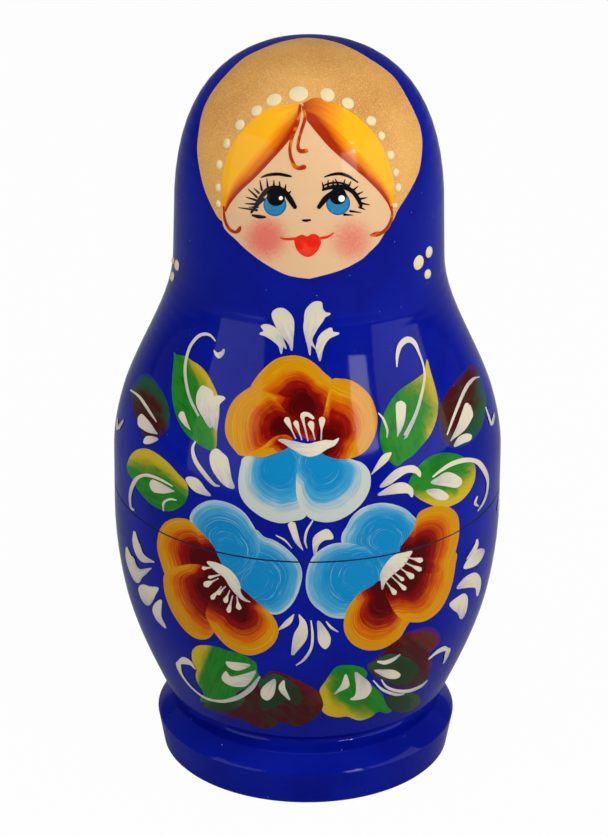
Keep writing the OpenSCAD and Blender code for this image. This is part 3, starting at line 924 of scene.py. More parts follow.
def smooth_outline(corners, steps, share):
    """A doll's outline with smooth curves, and outer edges a little rounded, as sanding leaves them."""
    p = np.array(corners, float)
    way = np.diff(p, axis=0)
    angle = np.arctan2(way[:, 1], way[:, 0])
    turn = (np.diff(angle) + math.pi) % (2 * math.pi) - math.pi
    cuts = [0, *(np.nonzero(turn > CREASE)[0] + 1), len(p) - 1]
    runs = [smooth_run(p[a:b + 1], steps) for a, b in zip(cuts, cuts[1:])]
    line = np.vstack([run[:-1] for run in runs] + [p[-1:]])
    reach = EDGE_ROUND * share
    along = np.concatenate([[0], np.cumsum(np.linalg.norm(np.diff(line, axis=0), axis=1))])
    at = along[np.cumsum([0] + [len(run) - 1 for run in runs])]
    kept = np.ones(len(line), bool)
    round_places, round_at = [], []
    for before, here, after, cut in zip(at, at[1:], at[2:], cuts[1:]):
        if min(here - before, after - here) < 2 * reach:
            continue
        kept &= np.abs(along - here) >= reach
        first, second = (np.array([np.interp(here + s * reach, along, line[:, i]) for i in (0, 1)])
                         for s in (-1, 1))
        for t in EDGE_STEPS:
            round_places.append((1 - t) ** 2 * first + 2 * t * (1 - t) * p[cut] + t * t * second)
            round_at.append(here + (2 * t - 1) * reach)
    every = np.vstack([line[kept], *round_places])
    return every[np.argsort(np.concatenate([along[kept], round_at]), kind="stable")]


# Thinnest build of lacquer, and the shares of the belly's radius where the full build sets in
LEAST_BUILD = 0.05 * MM
BUILD_START_SHARE = 0.93
BUILD_RISE_SHARE = 0.06


def drawn_in(outline, share):
    """An outline moved in by the paint's build, which is full where the doll is widest and highest."""
    way = np.gradient(outline, axis=0)
    out = np.stack([way[:, 1], -way[:, 0]], 1)
    out /= np.linalg.norm(out, axis=1)[:, None]
    low, top, widest = outline[:, 1].min(), outline[:, 1].max(), outline[:, 0].max()
    full = (outline[:, 0] / widest - BUILD_START_SHARE) / BUILD_RISE_SHARE
    if outline[-1, 0] == 0:
        full = np.maximum(full, 1 - (top - outline[:, 1]) / (BUILD_RISE_SHARE * widest))
    full = np.clip(full, 0, 1)
    depth = LEAST_BUILD + (sizes().build - LEAST_BUILD) * full * full * (3 - 2 * full)
    inner = outline - share * depth[:, None] * out
    inner[:, 0] = np.maximum(inner[:, 0], 0)
    inner[outline[:, 1] == low, 1] = low
    if outline[-1, 0] > 0:
        inner[outline[:, 1] == top, 1] = top
    return inner


# Finish numbers at the corners of a section, and the averages over a face from which two of them set in
LACQUER, JOINT, BARE = 0.0, 2.0, 4.0
JOINT_FROM, BARE_FROM = 0.5, 1.5


def shell_section(doll, half, steps):
    """Section of a shell with a finish number at each corner, and the painted stretch of it."""
    corners = section_of(doll.nodes[half])
    if half == "bottom":
        turn = next(i for i, c in enumerate(corners) if c[1] >= doll.joint - TOUCH)
    elif half == "top":
        turn = next(i for i, c in enumerate(corners) if c[0] < TOUCH)
    else:
        turn = len(corners) - 1
    outside = drawn_in(smooth_outline(corners[:turn + 1], steps, doll.share), doll.share)
    rows = [(r, z, LACQUER) for r, z in outside]
    inside = [(r, z, BARE) for r, z in corners[turn + 1:]]
    if half == "bottom":
        rows[-1] = (*rows[-1][:2], JOINT)
    if half == "top":
        rows[0] = (*rows[0][:2], JOINT)
        rows = rows + inside + rows[:1]
    else:
        rows = [(0.0, corners[0][1], BARE)] + rows + inside
        if inside:
            rows.append((0.0, inside[-1][1], BARE))
    return rows, outside


class Tree:
    """Builds one Geometry Nodes tree."""

    def __init__(self, name, inputs):
        self.group = bpy.data.node_groups.new(name, "GeometryNodeTree")
        face = self.group.interface
        face.new_socket("Geometry", in_out="OUTPUT", socket_type="NodeSocketGeometry")
        self.names = {}
        for label, kind in (("Geometry", "NodeSocketGeometry"), *inputs):
            self.names[label] = face.new_socket(label, in_out="INPUT", socket_type=kind).identifier
        self.start = self.group.nodes.new("NodeGroupInput")

    def given(self, label):
        return self.start.outputs[label]

    def node(self, kind, settings=None, values=None, out=0):
        """Adds a node: first its settings, then the values or links of its sockets."""
        made = self.group.nodes.new(kind)
        for key, value in (settings or {}).items():
            setattr(made, key, value)
        for key, value in (values or {}).items():
            if isinstance(value, bpy.types.NodeSocket):
                self.group.links.new(value, made.inputs[key])
            else:
                made.inputs[key].default_value = value
        return made.outputs[out]

    def attribute(self, name, kind):
        return self.node("GeometryNodeInputNamedAttribute", {"data_type": kind}, {"Name": name})

    def math(self, operation, first, second):
        return self.node("ShaderNodeMath", {"operation": operation}, {0: first, 1: second})

    def end(self, geometry):
        made = self.group.nodes.new("NodeGroupOutput")
        self.group.links.new(geometry, made.inputs[0])
        return self

    def grow(self, mesh, values):
        """Runs the tree on a mesh and gives back the plain mesh that it makes."""
        base = bpy.data.objects.new(mesh.name, mesh)
        bpy.context.scene.collection.objects.link(base)
        modifier = base.modifiers.new("tree", "NODES")
        modifier.node_group = self.group
        for label, value in values.items():
            modifier[self.names[label]] = value
        graph = bpy.context.evaluated_depsgraph_get()
        made = bpy.data.meshes.new_from_object(base.evaluated_get(graph), depsgraph=graph)
        base.modifiers.remove(modifier)
        bpy.data.objects.remove(base)
        return made


def turning_tree():
    """Turns a section about the Z axis, and gives each face its finish by the section's numbers."""
    tree = Tree("turned_shell", (
        ("Sides", "NodeSocketInt"), ("Lacquer", "NodeSocketMaterial"), ("Joint line", "NodeSocketMaterial"),
        ("Bare wood", "NodeSocketMaterial")))
    section, sides = tree.given("Geometry"), tree.given("Sides")
    rows = tree.node("GeometryNodeAttributeDomainSize", None, {0: section})
    columns = tree.math("ADD", sides, 1.0)
    grid = tree.node("GeometryNodeMeshGrid", None, {"Vertices X": columns, "Vertices Y": rows})
    index = tree.node("GeometryNodeInputIndex")
    row = tree.math("FLOORED_MODULO", index, rows)
    column = tree.math("FLOOR", tree.math("DIVIDE", tree.math("ADD", index, 0.5), rows), 0.0)
    place = tree.node("GeometryNodeSampleIndex", {"data_type": "FLOAT_VECTOR"}, {
        0: section, 1: tree.node("GeometryNodeInputPosition"), 2: row})
    number = tree.node("GeometryNodeSampleIndex", None, {
        0: section, 1: tree.attribute("finish", "FLOAT"), 2: row})
    angle = tree.math("MULTIPLY", tree.math("DIVIDE", column, sides), 2 * math.pi)
    turned = tree.node("ShaderNodeVectorRotate", {"rotation_type": "Z_AXIS"}, {
        "Vector": place, "Angle": angle})
    grid = tree.node("GeometryNodeStoreNamedAttribute", {"data_type": "FLOAT"}, {
        0: grid, "Name": "finish", "Value": number})
    shell = tree.node("GeometryNodeSetPosition", None, {"Geometry": grid, "Position": turned})
    flat = tree.node("FunctionNodeCompare", {"operation": "LESS_THAN"}, {
        0: tree.node("GeometryNodeInputMeshFaceArea"), 1: FLAT_AREA})
    shell = tree.node("GeometryNodeDeleteGeometry", {"domain": "FACE"}, {0: shell, 1: flat})
    shell = tree.node("GeometryNodeMergeByDistance", None, {0: shell, "Distance": 0.2 * TOUCH})
    shell = tree.node("GeometryNodeRealizeInstances", None, {0: shell})
    shell = tree.node("GeometryNodeSetMaterial", None, {0: shell, "Material": tree.given("Lacquer")})
    number = tree.node("GeometryNodeFieldOnDomain", {"domain": "FACE"}, {
        0: tree.attribute("finish", "FLOAT")})
    for label, least in (("Joint line", JOINT_FROM), ("Bare wood", BARE_FROM)):
        above = tree.node("FunctionNodeCompare", {"operation": "GREATER_THAN"}, {0: number, 1: least})
        shell = tree.node("GeometryNodeSetMaterial", None, {
            0: shell, 1: above, "Material": tree.given(label)})
    return tree.end(shell)


def stroke_tree():
    """Draws a low ridge of paint along each line, as wide as the line's own width says."""
    tree = Tree("brush_strokes", (
        ("Corners", "NodeSocketInt"), ("Relief", "NodeSocketFloat"), ("Paint", "NodeSocketMaterial")))
    lines = tree.node("GeometryNodeMeshToCurve", None, {0: tree.given("Geometry")})
    lines = tree.node("GeometryNodeSetCurveNormal", {"mode": "FREE"}, {
        0: lines, "Normal": tree.attribute("facing", "FLOAT_VECTOR")})
    lines = tree.node("GeometryNodeSetCurveRadius", None, {
        0: lines, "Radius": tree.attribute("half_width", "FLOAT")})
    ring = tree.node("GeometryNodeCurvePrimitiveCircle", None, {
        "Resolution": tree.given("Corners"), "Radius": 1.0})
    spot = tree.node("GeometryNodeInputPosition")
    ring = tree.node("GeometryNodeStoreNamedAttribute", {"data_type": "FLOAT"}, {
        0: ring, "Name": "across", "Value": tree.node("ShaderNodeSeparateXYZ", None, {0: spot}, 1)})
    low = tree.node("ShaderNodeCombineXYZ", None, {0: tree.given("Relief"), 1: 1.0, 2: 1.0})
    ring = tree.node("GeometryNodeTransform", None, {0: ring, "Scale": low})
    paint_mesh = tree.node("GeometryNodeCurveToMesh", None, {
        0: lines, 1: ring, "Scale": tree.attribute("half_width", "FLOAT"), "Fill Caps": True})
    paint_mesh = tree.node("GeometryNodeRealizeInstances", None, {0: paint_mesh})
    paint_mesh = tree.node("GeometryNodeSetMaterial", None, {0: paint_mesh, "Material": tree.given("Paint")})
    return tree.end(paint_mesh)


# Rings of a dome, and its sides on the outer doll and on the inner ones
DOT_RINGS = 8
DOT_SIDES = 24
COARSE_DOT_SIDES = 14


def dot_tree():
    """Sets a low dome of thick paint on each point."""
    tree = Tree("paint_dots", (("Sides", "NodeSocketInt"), ("Paint", "NodeSocketMaterial")))
    dome = tree.node("GeometryNodeMeshUVSphere", None, {
        "Segments": tree.given("Sides"), "Rings": DOT_RINGS, "Radius": 1.0})
    dots = tree.node("GeometryNodeInstanceOnPoints", None, {
        "Points": tree.given("Geometry"), "Instance": dome, "Rotation": tree.attribute("turn", "QUATERNION"),
        "Scale": tree.attribute("reach", "FLOAT_VECTOR")})
    dots = tree.node("GeometryNodeRealizeInstances", None, {0: dots})
    dots = tree.node("GeometryNodeSetMaterial", None, {0: dots, "Material": tree.given("Paint")})
    return tree.end(dots)


def mesh_with(name, places, edges=(), faces=(), **attributes):
    """A mesh with point attributes, each of the kind that its shape and name ask for."""
    mesh = bpy.data.meshes.new(name)
    mesh.from_pydata([tuple(p) for p in places], [tuple(e) for e in edges], [tuple(f) for f in faces])
    for label, values in attributes.items():
        values = np.asarray(values, np.float32)
        kind = {1: "FLOAT", 3: "FLOAT_VECTOR", 4: "QUATERNION"}[1 if values.ndim == 1 else values.shape[1]]
        key = "vector" if kind == "FLOAT_VECTOR" else "value"
        mesh.attributes.new(label, kind, "POINT").data.foreach_set(key, values.ravel())
    return mesh


class Ground:
    """The outer doll's painted surface: where a pixel of the photograph lies on it, and how it faces."""

    SIDES = 360
    PULL_IN = 0.01
    BATCH = 4096

    def __init__(self, outline):
        self.outline = outline
        way = np.gradient(outline, axis=0)
        out = np.stack([way[:, 1], -way[:, 0]], 1)
        self.out = out / np.linalg.norm(out, axis=1)[:, None]
        self.along = way / (way ** 2).sum(1)[:, None]
        turn = np.linspace(0, 2 * math.pi, self.SIDES, endpoint=False)
        r, z = outline[:, 0], outline[:, 1]
        places = np.stack([np.outer(np.cos(turn), r), np.outer(np.sin(turn), r),
                           np.tile(z, (self.SIDES, 1))], -1)
        rows = len(outline)
        corner = np.arange(self.SIDES * rows).reshape(self.SIDES, rows)
        after = np.roll(corner, -1, 0)
        faces = np.stack([corner[:, :-1], after[:, :-1], after[:, 1:], corner[:, 1:]], -1).reshape(-1, 4)
        self.tree = BVHTree.FromPolygons(places.reshape(-1, 3).tolist(), faces.tolist())
        self.right, self.up, self.ahead = camera_axes()
        self.side = 1.0

    def behind(self):
        """The same surface, with pixels landing half a turn round it, on the doll's back."""
        back = copy.copy(self)
        back.side = -1.0
        return back

    def ray(self, x, y):
        across, down = float(x - AXIS_PX[0]) / FOCAL_PX, float(y - AXIS_PX[1]) / FOCAL_PX
        return (self.ahead + across * self.right - down * self.up).normalized()

    def land(self, pixels):
        """Places on the surface under pixels. One beyond the edge of the doll is brought in to the edge."""
        places = []
        for x, y in pixels:
            hit = None
            while hit is None:
                hit = self.tree.ray_cast(CAMERA_PLACE, self.ray(x, y))[0]
                x += self.PULL_IN * (AXIS_PX[0] - x)
            places.append(hit)
        return np.array(places) * (self.side, self.side, 1.0)

    def facing(self, places):
        """Outward unit normals at places on or near the surface."""
        places = np.asarray(places, float)
        radius = np.hypot(places[:, 0], places[:, 1])
        flat = np.stack([radius, places[:, 2]], 1)
        out = np.empty_like(flat)
        for i in range(0, len(flat), self.BATCH):
            part = flat[i:i + self.BATCH]
            gap = part[:, None, :] - self.outline[None]
            near = (gap ** 2).sum(2).argmin(1)
            on = ((part - self.outline[near]) * self.along[near]).sum(1)
            other = np.clip(near + np.sign(on).astype(int), 0, len(self.outline) - 1)
            share = np.clip(np.abs(on), 0, 1)[:, None]
            out[i:i + self.BATCH] = (1 - share) * self.out[near] + share * self.out[other]
        spoke = places[:, :2] / np.maximum(radius, 1e-9)[:, None]
        normal = np.column_stack([spoke * out[:, :1], out[:, 1]])
        return normal / np.linalg.norm(normal, axis=1)[:, None]

    def over(self, places, layer):
        """Places raised by a number of coats."""
        return places + sizes().coat * layer * self.facing(places)

    def under(self, places):
        """Places sunk below the lacquer ground."""
        return places - sizes().bury * self.facing(places)


def camera_axes():
    """Right, up and ahead of the photograph's camera."""
    ahead = (CAMERA_AIM - CAMERA_PLACE).normalized()
    level = Vector((1, 0, 0))
    rise = level.cross(ahead)
    c, s = math.cos(CAMERA_ROLL), math.sin(CAMERA_ROLL)
    return c * level + s * rise, c * rise - s * level, ahead


RUN_STEPS = 8


def spaced(points, count, closed):
    """Points at even steps along a smooth line through the given ones."""
    p = np.array(points, float)
    if closed:
        p = np.vstack([p[-2:], p, p[:3]])
    line = smooth_run(p, RUN_STEPS)
    if closed:
        line = line[2 * RUN_STEPS:(2 + len(points)) * RUN_STEPS + 1]
    reach = np.concatenate([[0], np.cumsum(np.linalg.norm(np.diff(line[:, :2], axis=0), axis=1))])
    at = np.linspace(0, reach[-1], count + 1 if closed else count)
    made = np.column_stack([np.interp(at, reach, line[:, i]) for i in range(line.shape[1])])
    return made[:-1] if closed else made


def length_of(points, closed):
    p = np.array(points, float)[:, :2]
    if closed:
        p = np.vstack([p, p[:1]])
    return np.linalg.norm(np.diff(p, axis=0), axis=1).sum()


def moved(points, across, down):
    """Points of a motif, moved over the photograph's frame."""
    return [(p[0] + across, p[1] + down, *p[2:]) for p in points]


# Sizes of brush marks and of a patch's skirt, in pixels
GRAIN_LENGTH = 40.0
GRAIN_WIDTH = 8.0
STRAND_LENGTH = 60.0
SKIRT_PX = 0.8
MEET_PX = 0.05

# Fewest corners around a patch, steps of the brush marks from patch to patch, and shares of a patch's reach
LEAST_AROUND = 12
PATCH_SEED = 0.37
BAND_SEED = 0.61
FULL_REACH = 0.62
HEART_RING = 0.4
BLUE_KINDS = ("cream_blue", "sky_blue")


class Coat:
    """Collects painted patches and makes them one mesh."""

    def __init__(self, ground, cell):
        self.ground = ground
        self.cell = cell
        self.places, self.faces, self.brush, self.tone, self.kinds = [], [], [], [], []
        self.used = []
        self.count = 0

    def add(self, places, faces, brush, tone, kind):
        if kind not in self.used:
            self.used.append(kind)
        self.faces += [[i + self.count for i in face] for face in faces]
        self.kinds += [self.used.index(kind)] * len(faces)
        self.places.append(places)
        self.brush.append(brush)
        self.tone.append(tone)
        self.count += len(places)

    def shifts(self):
        """Moves of the brush marks that make each patch different."""
        seed = PATCH_SEED * len(self.places)
        return 5 * seed, 3 * seed

    def patch(self, rim, core, layer, kind, shade=None, grain=None, heart=None):
        """A closed patch inside a rim. Its brush attribute holds the direction from the core and the ring,
        or, with a grain, the ways across and along that grain and the ring."""
        around = max(LEAST_AROUND, round(length_of(rim, True) / self.cell))
        edge = spaced(rim, around, True)
        core = np.array(core, float)
        spokes = edge - core
        following = np.roll(spokes, -1, 0)
        fan = spokes[:, 0] * following[:, 1] - spokes[:, 1] * following[:, 0]
        if fan.min() < 0 < fan.max():
            raise RuntimeError(f"the rim of a {kind} patch folds about its core {core}")
        reach = np.linalg.norm(spokes, axis=1)
        rings = max(2, round(reach.max() / self.cell))
        share = np.arange(1, rings + 1) / rings
        pixels = np.vstack([core[None], (core + share[:, None, None] * spokes[None]).reshape(-1, 2)])
        top = self.ground.over(self.ground.land(pixels), layer)
        last = len(pixels) - around
        foot = self.ground.land(np.vstack([edge + SKIRT_PX * spokes / reach[:, None], core]))
        every = np.vstack([top, self.ground.under(foot)])
        fill = reach / np.maximum(reach, FULL_REACH * reach.max())
        if heart is not None:
            outward = core - heart
            lean = spokes @ outward / (reach * np.linalg.norm(outward))
            fill *= HEART_RING + (1 - HEART_RING) * np.clip(0.55 + 0.8 * lean, 0, 1)
        ring = np.concatenate([[0], (share[:, None] * fill[None]).ravel()])
        ways = np.vstack([[0, 0], np.tile(spokes / np.maximum(reach, 1e-6)[:, None], (rings, 1))])
        across, rise = self.shifts()
        brush = np.column_stack([ways[:, 0] + across, ways[:, 1] + rise, ring])
        tone = np.zeros(len(pixels)) if shade is None else shade(pixels)
        if grain is not None:
            start, way = grain
            tone = (pixels - start) @ way / (way @ way)
            along = (pixels - start) @ np.array([-way[1], way[0]]) / np.linalg.norm(way) / GRAIN_LENGTH
            brush[:, 0], brush[:, 1] = tone + across, along + rise
        pick = np.concatenate([np.arange(len(pixels)), np.arange(last, len(pixels)), [0]])
        ahead = np.roll(np.arange(around), -1)
        faces = [(0, 1 + j, 1 + ahead[j]) for j in range(around)]
        for i in range(rings - 1):
            a, b = 1 + i * around, 1 + (i + 1) * around
            faces += [(a + j, b + j, b + ahead[j], a + ahead[j]) for j in range(around)]
        low = len(pixels)
        faces += [(last + j, low + j, low + ahead[j], last + ahead[j]) for j in range(around)]
        faces += [(low + j, low + around, low + ahead[j]) for j in range(around)]
        self.add(every, faces, brush[pick], tone[pick], kind)

    def shape(self, rim, layer, kind):
        """A closed patch inside any outline, whose tone grows from its broad end to its narrow one."""
        edge = spaced(rim, max(LEAST_AROUND, round(2 * length_of(rim, True) / self.cell)), True)
        low, high = edge.min(0), edge.max(0)
        columns, rows = (np.arange(low[i], high[i], self.cell) for i in (0, 1))
        corners = [Vector(p) for p in (*edge, *((x, y) for x in columns for y in rows))]
        flat, _, faces, *_ = delaunay_2d_cdt(corners, [], [range(len(edge))], 1, MEET_PX)
        kept = sorted({i for face in faces for i in face})
        new = {i: n for n, i in enumerate(kept)}
        faces = [[new[i] for i in face] for face in faces]
        pixels = np.array([flat[i] for i in kept])
        middle = pixels - pixels.mean(0)
        axis = np.linalg.eigh(middle.T @ middle)[1][:, 1]
        along, across = middle @ axis, middle @ np.array([-axis[1], axis[0]])
        if np.abs(across[along > 0]).max() > np.abs(across[along < 0]).max():
            along = -along
        tone = (along - along.min()) / np.ptp(along)
        count = len(pixels)
        side, rise = self.shifts()
        brush = np.column_stack([across / GRAIN_WIDTH + side, along / GRAIN_LENGTH + rise,
                                 np.full(count, 0.5)])
        under = [[i + count for i in reversed(face)] for face in faces]
        sides = {(a, b) for face in faces for a, b in zip(face, face[1:] + face[:1])}
        rim_edges = sorted((a, b) for a, b in sides if (b, a) not in sides)
        walls = [(b, a, a + count, b + count) for a, b in rim_edges]
        out = np.zeros_like(pixels)
        for a, b in rim_edges:
            out[[a, b]] += (pixels[b] - pixels[a])[::-1] * (1, -1) / np.linalg.norm(pixels[b] - pixels[a])
        foot = pixels + SKIRT_PX * out / np.maximum(np.linalg.norm(out, axis=1), 1)[:, None]
        every = np.vstack([self.ground.over(self.ground.land(pixels), layer),
                           self.ground.under(self.ground.land(foot))])
        self.add(every, faces + under + walls, np.vstack([brush, brush]), np.tile(tone, 2), kind)

    def band(self, first, second, layer, kind, shade):
        """A closed patch between two edges. Its brush attribute holds the ways across and along."""
        long = max(6, round(max(length_of(first, False), length_of(second, False)) / self.cell))
        a, b = spaced(first, long, False), spaced(second, long, False)
        wide = max(3, round(np.linalg.norm(a - b, axis=1).max() / self.cell) + 1)
        across = np.linspace(0, 1, wide)
        pixels = a[:, None] * (1 - across)[None, :, None] + b[:, None] * across[None, :, None]
        places = self.ground.land(pixels.reshape(-1, 2))
        sides = np.concatenate([np.arange(long) * wide, np.arange(long) * wide + wide - 1])
        along = np.repeat(np.linspace(0, 1, long), wide)
        across = np.tile(across, long)
        seed = BAND_SEED * len(self.places)
        brush = np.column_stack([across + 4 * seed, along * length_of(first, False) / STRAND_LENGTH + seed,
                                 np.zeros(long * wide)])
        inner = np.clip((across - 0.4) / 0.6, 0, 1)
        parting, tip = np.clip(1 - along / 0.4, 0, 1), np.clip((along - 0.65) / 0.35, 0, 1)
        tone = 0.12 + 0.9 * inner ** 1.3 + shade * parting + 0.35 * tip
        pick = np.concatenate([np.arange(long * wide), sides])
        low = long * wide
        faces = []
        for i in range(long - 1):
            faces += [(i * wide + j, i * wide + j + 1, (i + 1) * wide + j + 1, (i + 1) * wide + j)
                      for j in range(wide - 1)]
            p, q = i * wide, (i + 1) * wide
            faces.append((q, low + i + 1, low + i, p))
            faces.append((p + wide - 1, low + long + i, low + long + i + 1, q + wide - 1))
            faces.append((low + i, low + i + 1, low + long + i + 1, low + long + i))
        end = (long - 1) * wide
        faces.append([low, low + long, *range(wide - 1, -1, -1)])
        faces.append([low + long - 1, *range(end, end + wide), low + 2 * long - 1])
        every = np.vstack([self.ground.over(places, layer), self.ground.under(places[sides])])
        self.add(every, faces, brush[pick], tone[pick], kind)

    def mesh(self, name):
        made = mesh_with(name, np.vstack(self.places), (), self.faces, brush=np.vstack(self.brush),
                         tone=np.concatenate(self.tone))
        for kind in self.used:
            made.materials.append(finish(kind))
        made.polygons.foreach_set("material_index", self.kinds)
        return outward(made)


# Lengths below which an edge counts as nothing, and a corner as lying on a cut
NO_LENGTH = 1e-8
ON_CUT = 1e-7


def outward(mesh):
    """Removes edges and faces of no size and turns all faces outwards."""
    bm = bmesh.new()
    bm.from_mesh(mesh)
    bmesh.ops.dissolve_degenerate(bm, edges=bm.edges, dist=NO_LENGTH)
    bmesh.ops.recalc_face_normals(bm, faces=bm.faces)
    bm.to_mesh(mesh)
    bm.free()
    return mesh


# Strokes: half width from which an end is round, reach and steps of that end, least half width, spacing
ROUND_FROM_PX = 1.2
CAP_REACH = 0.95
CAP_STEPS = (0.99, 0.9, 0.7, 0.4)
LEAST_HALF_PX = 0.12
STROKE_STEP = 0.6
STROKE_CORNERS = 10


def rounded(points):
    """A stroke's points with a round end added wherever it is wide."""
    p = [np.array(q, float) for q in points]
    for _ in range(2):
        head, following = p[0], p[1]
        if head[2] > ROUND_FROM_PX:
            way = (head - following)[:2]
            way /= np.linalg.norm(way)
            cap = [np.array([*(head[:2] + CAP_REACH * head[2] * s * way), head[2] * math.sqrt(1 - s * s)])
                   for s in CAP_STEPS]
            p = cap + p
        p = p[::-1]
    return np.array(p)


def stroke_lines(strokes, layer, spacing, name):
    """Lines on the doll that the stroke tree draws along, from pairs of a ground and a stroke."""
    places, edges, facing, half, tone, brush = [], [], [], [], [], []
    for k, (ground, stroke) in enumerate(strokes):
        line = rounded(stroke)
        count = max(5, round(length_of(line, False) / spacing) + 1)
        line = spaced(line, count, False)
        line[:, 2] = np.maximum(line[:, 2], LEAST_HALF_PX)
        way = np.gradient(line[:, :2], axis=0)
        side = np.stack([-way[:, 1], way[:, 0]], 1) / np.linalg.norm(way, axis=1)[:, None]
        reach = side * line[:, 2:3]
        on = ground.land(line[:, :2])
        left, right = ground.land(line[:, :2] + reach), ground.land(line[:, :2] - reach)
        width = np.linalg.norm(left - right, axis=1) / 2
        normal = ground.facing(on)
        start = len(places)
        edges += [(start + i, start + i + 1) for i in range(count - 1)]
        places += list(on + sizes().coat * layer * normal)
        facing += list(normal)
        half += list(width)
        along = np.linspace(0, 1, count)
        tone += list(along)
        brush += [(PATCH_SEED * k, 0.8 * a + 0.53 * k, 0.5) for a in along]
    return mesh_with(name, places, edges, (), facing=facing, half_width=half, tone=tone, brush=brush)


DOT_TONE = 0.2


def dot_points(dots, layer, height, name):
    """Points on the doll that the dot tree sets domes on, from pairs of a ground and a dot."""
    places, turns, reaches, tones = [], [], [], []
    for ground, (x, y, wide, tall, degrees) in dots:
        c, s = math.cos(math.radians(degrees)), math.sin(math.radians(degrees))
        centre = ground.land([(x, y)])
        normal = Vector(ground.facing(centre)[0])
        ends = ground.land([(x + wide * c, y + wide * s), (x - wide * c, y - wide * s),
                            (x - tall * s, y + tall * c), (x + tall * s, y - tall * c)])
        across, along = Vector(ends[0] - ends[1]) / 2, Vector(ends[2] - ends[3]) / 2
        x_axis = (across - across.dot(normal) * normal).normalized()
        y_axis = normal.cross(x_axis)
        turn = Matrix((x_axis, y_axis, normal)).transposed().to_quaternion()
        places.append(centre[0] + sizes().coat * layer * np.array(normal))
        turns.append(tuple(turn))
        reaches.append((across.length, abs(along.dot(y_axis)), height))
        tones.append(DOT_TONE)
    return mesh_with(name, places, (), (), turn=turns, reach=reaches, tone=tones)


def half_of(mesh, height, keep_above):
    """The part of a closed mesh on one side of a level, closed again, or None if nothing is there."""
    bm = bmesh.new()
    bm.from_mesh(mesh)
    cut = bmesh.ops.bisect_plane(bm, geom=bm.verts[:] + bm.edges[:] + bm.faces[:], dist=ON_CUT,
                                 plane_co=(0, 0, height), plane_no=(0, 0, 1), clear_inner=keep_above,
                                 clear_outer=not keep_above)
    edges = [e for e in cut["geom_cut"] if isinstance(e, bmesh.types.BMEdge) and e.is_boundary]
    if edges:
        bmesh.ops.holes_fill(bm, edges=edges, sides=0)
    made = None
    if bm.faces:
        made = mesh.copy()
        bm.to_mesh(made)
    bm.free()
    return made


SHARP = math.radians(24)


def set_piece(name, mesh, node, ground=None, doll=None):
    """Links a finished mesh, gives it the doll's own normals if it is paint, and lets it ride on its half."""
    mesh.name = name
    mesh.shade_smooth()
    if ground is None:
        mesh.set_sharp_from_angle(angle=SHARP)
    else:
        places = np.empty(len(mesh.vertices) * 3)
        mesh.vertices.foreach_get("co", places)
        places = places.reshape(-1, 3)
        places[:, 2] -= doll.stand
        mesh.normals_split_custom_set_from_vertices(ground.facing(places / doll.share).tolist())
    piece = bpy.data.objects.new(name, mesh)
    bpy.context.scene.collection.objects.link(piece)
    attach(piece, node)
    return piece


# What one step leaves for the next ones: the dolls, the painted surface and half the gap in it at the joint
work = {}


def place_paint(doll, mesh, label, ground, flush):
    """Copies paint from the outer doll's size to a doll, parted where its halves meet."""
    scaled = mesh.copy()
    scaled.transform(Matrix.Translation((0, 0, doll.stand)) @ Matrix.Scale(doll.share, 4))
    given = (ground, doll) if flush else (None, None)
    if doll.joint is None:
        set_piece(f"{doll.name}_doll_{label}", scaled, doll.nodes["whole"], *given)
        return
    edge = work["edge"] * doll.share
    for half, level, above in (("bottom", doll.joint - edge, False), ("top", doll.joint + edge, True)):
        part = half_of(scaled, level, above)
        if part:
            set_piece(f"{doll.name}_{half}_{label}", part, doll.nodes[half], *given)


COARSE_CELLS = 1.6


def paint_dolls(label, make, flush=True):
    """Paints the outer doll finely, and the inner ones with a coarser copy of the same work."""
    ground = work["ground"]
    fine = make(ground, sizes().cell)
    coarse = make(ground, COARSE_CELLS * sizes().cell)
    for doll in work["dolls"]:
        place_paint(doll, fine if doll is work["dolls"][0] else coarse, label, ground, flush)


# Sides of a shell go up in these steps, from this many
SIDES_STEP = 16
LEAST_STEPS = 6


class DOLL_OT_turn_shells(bpy.types.Operator):
    """Turns every shell of the set from the section of its CAD node"""

    bl_idname = "nesting_doll.turn_shells"
    bl_label = "Turn shells"

    def execute(self, context):
        work["dolls"] = doll_set()
        tree = turning_tree()
        painted = []
        for k, doll in enumerate(work["dolls"]):
            steps = 3 if k == 0 else 2
            fit = round(sizes().sides * math.sqrt(doll.share) / SIDES_STEP)
            sides = SIDES_STEP * max(LEAST_STEPS, fit)
            for half, node in doll.nodes.items():
                rows, outside = shell_section(doll, half, steps)
                places = [(r, 0, z) for r, z, _ in rows]
                edges = [(i, i + 1) for i in range(len(rows) - 1)]
                line = mesh_with(f"{node}_section", places, edges, finish=[number for *_, number in rows])
                mesh = tree.grow(line, {
                    "Sides": sides, "Lacquer": finish("ground"), "Joint line": finish("joint"),
                    "Bare wood": finish("wood")})
                if not mesh.polygons:
                    raise RuntimeError(f"the turning tree made nothing for {node}")
                piece = set_piece(f"{node}_shell", outward(mesh), node)
                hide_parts(node)
                if k == 0:
                    painted.append(outside)
        foot, head = painted
        work["edge"] = work["dolls"][0].joint - foot[-2, 1]
        work["ground"] = Ground(np.vstack([foot[:-1], head[1:]]))
        return {"FINISHED"}


# Rouge: share of its radius, and how steeply it ends. Corners of an eye's discs
BLUSH_REACH = 0.85
BLUSH_FALL = 2.6
DISC_CORNERS = 12


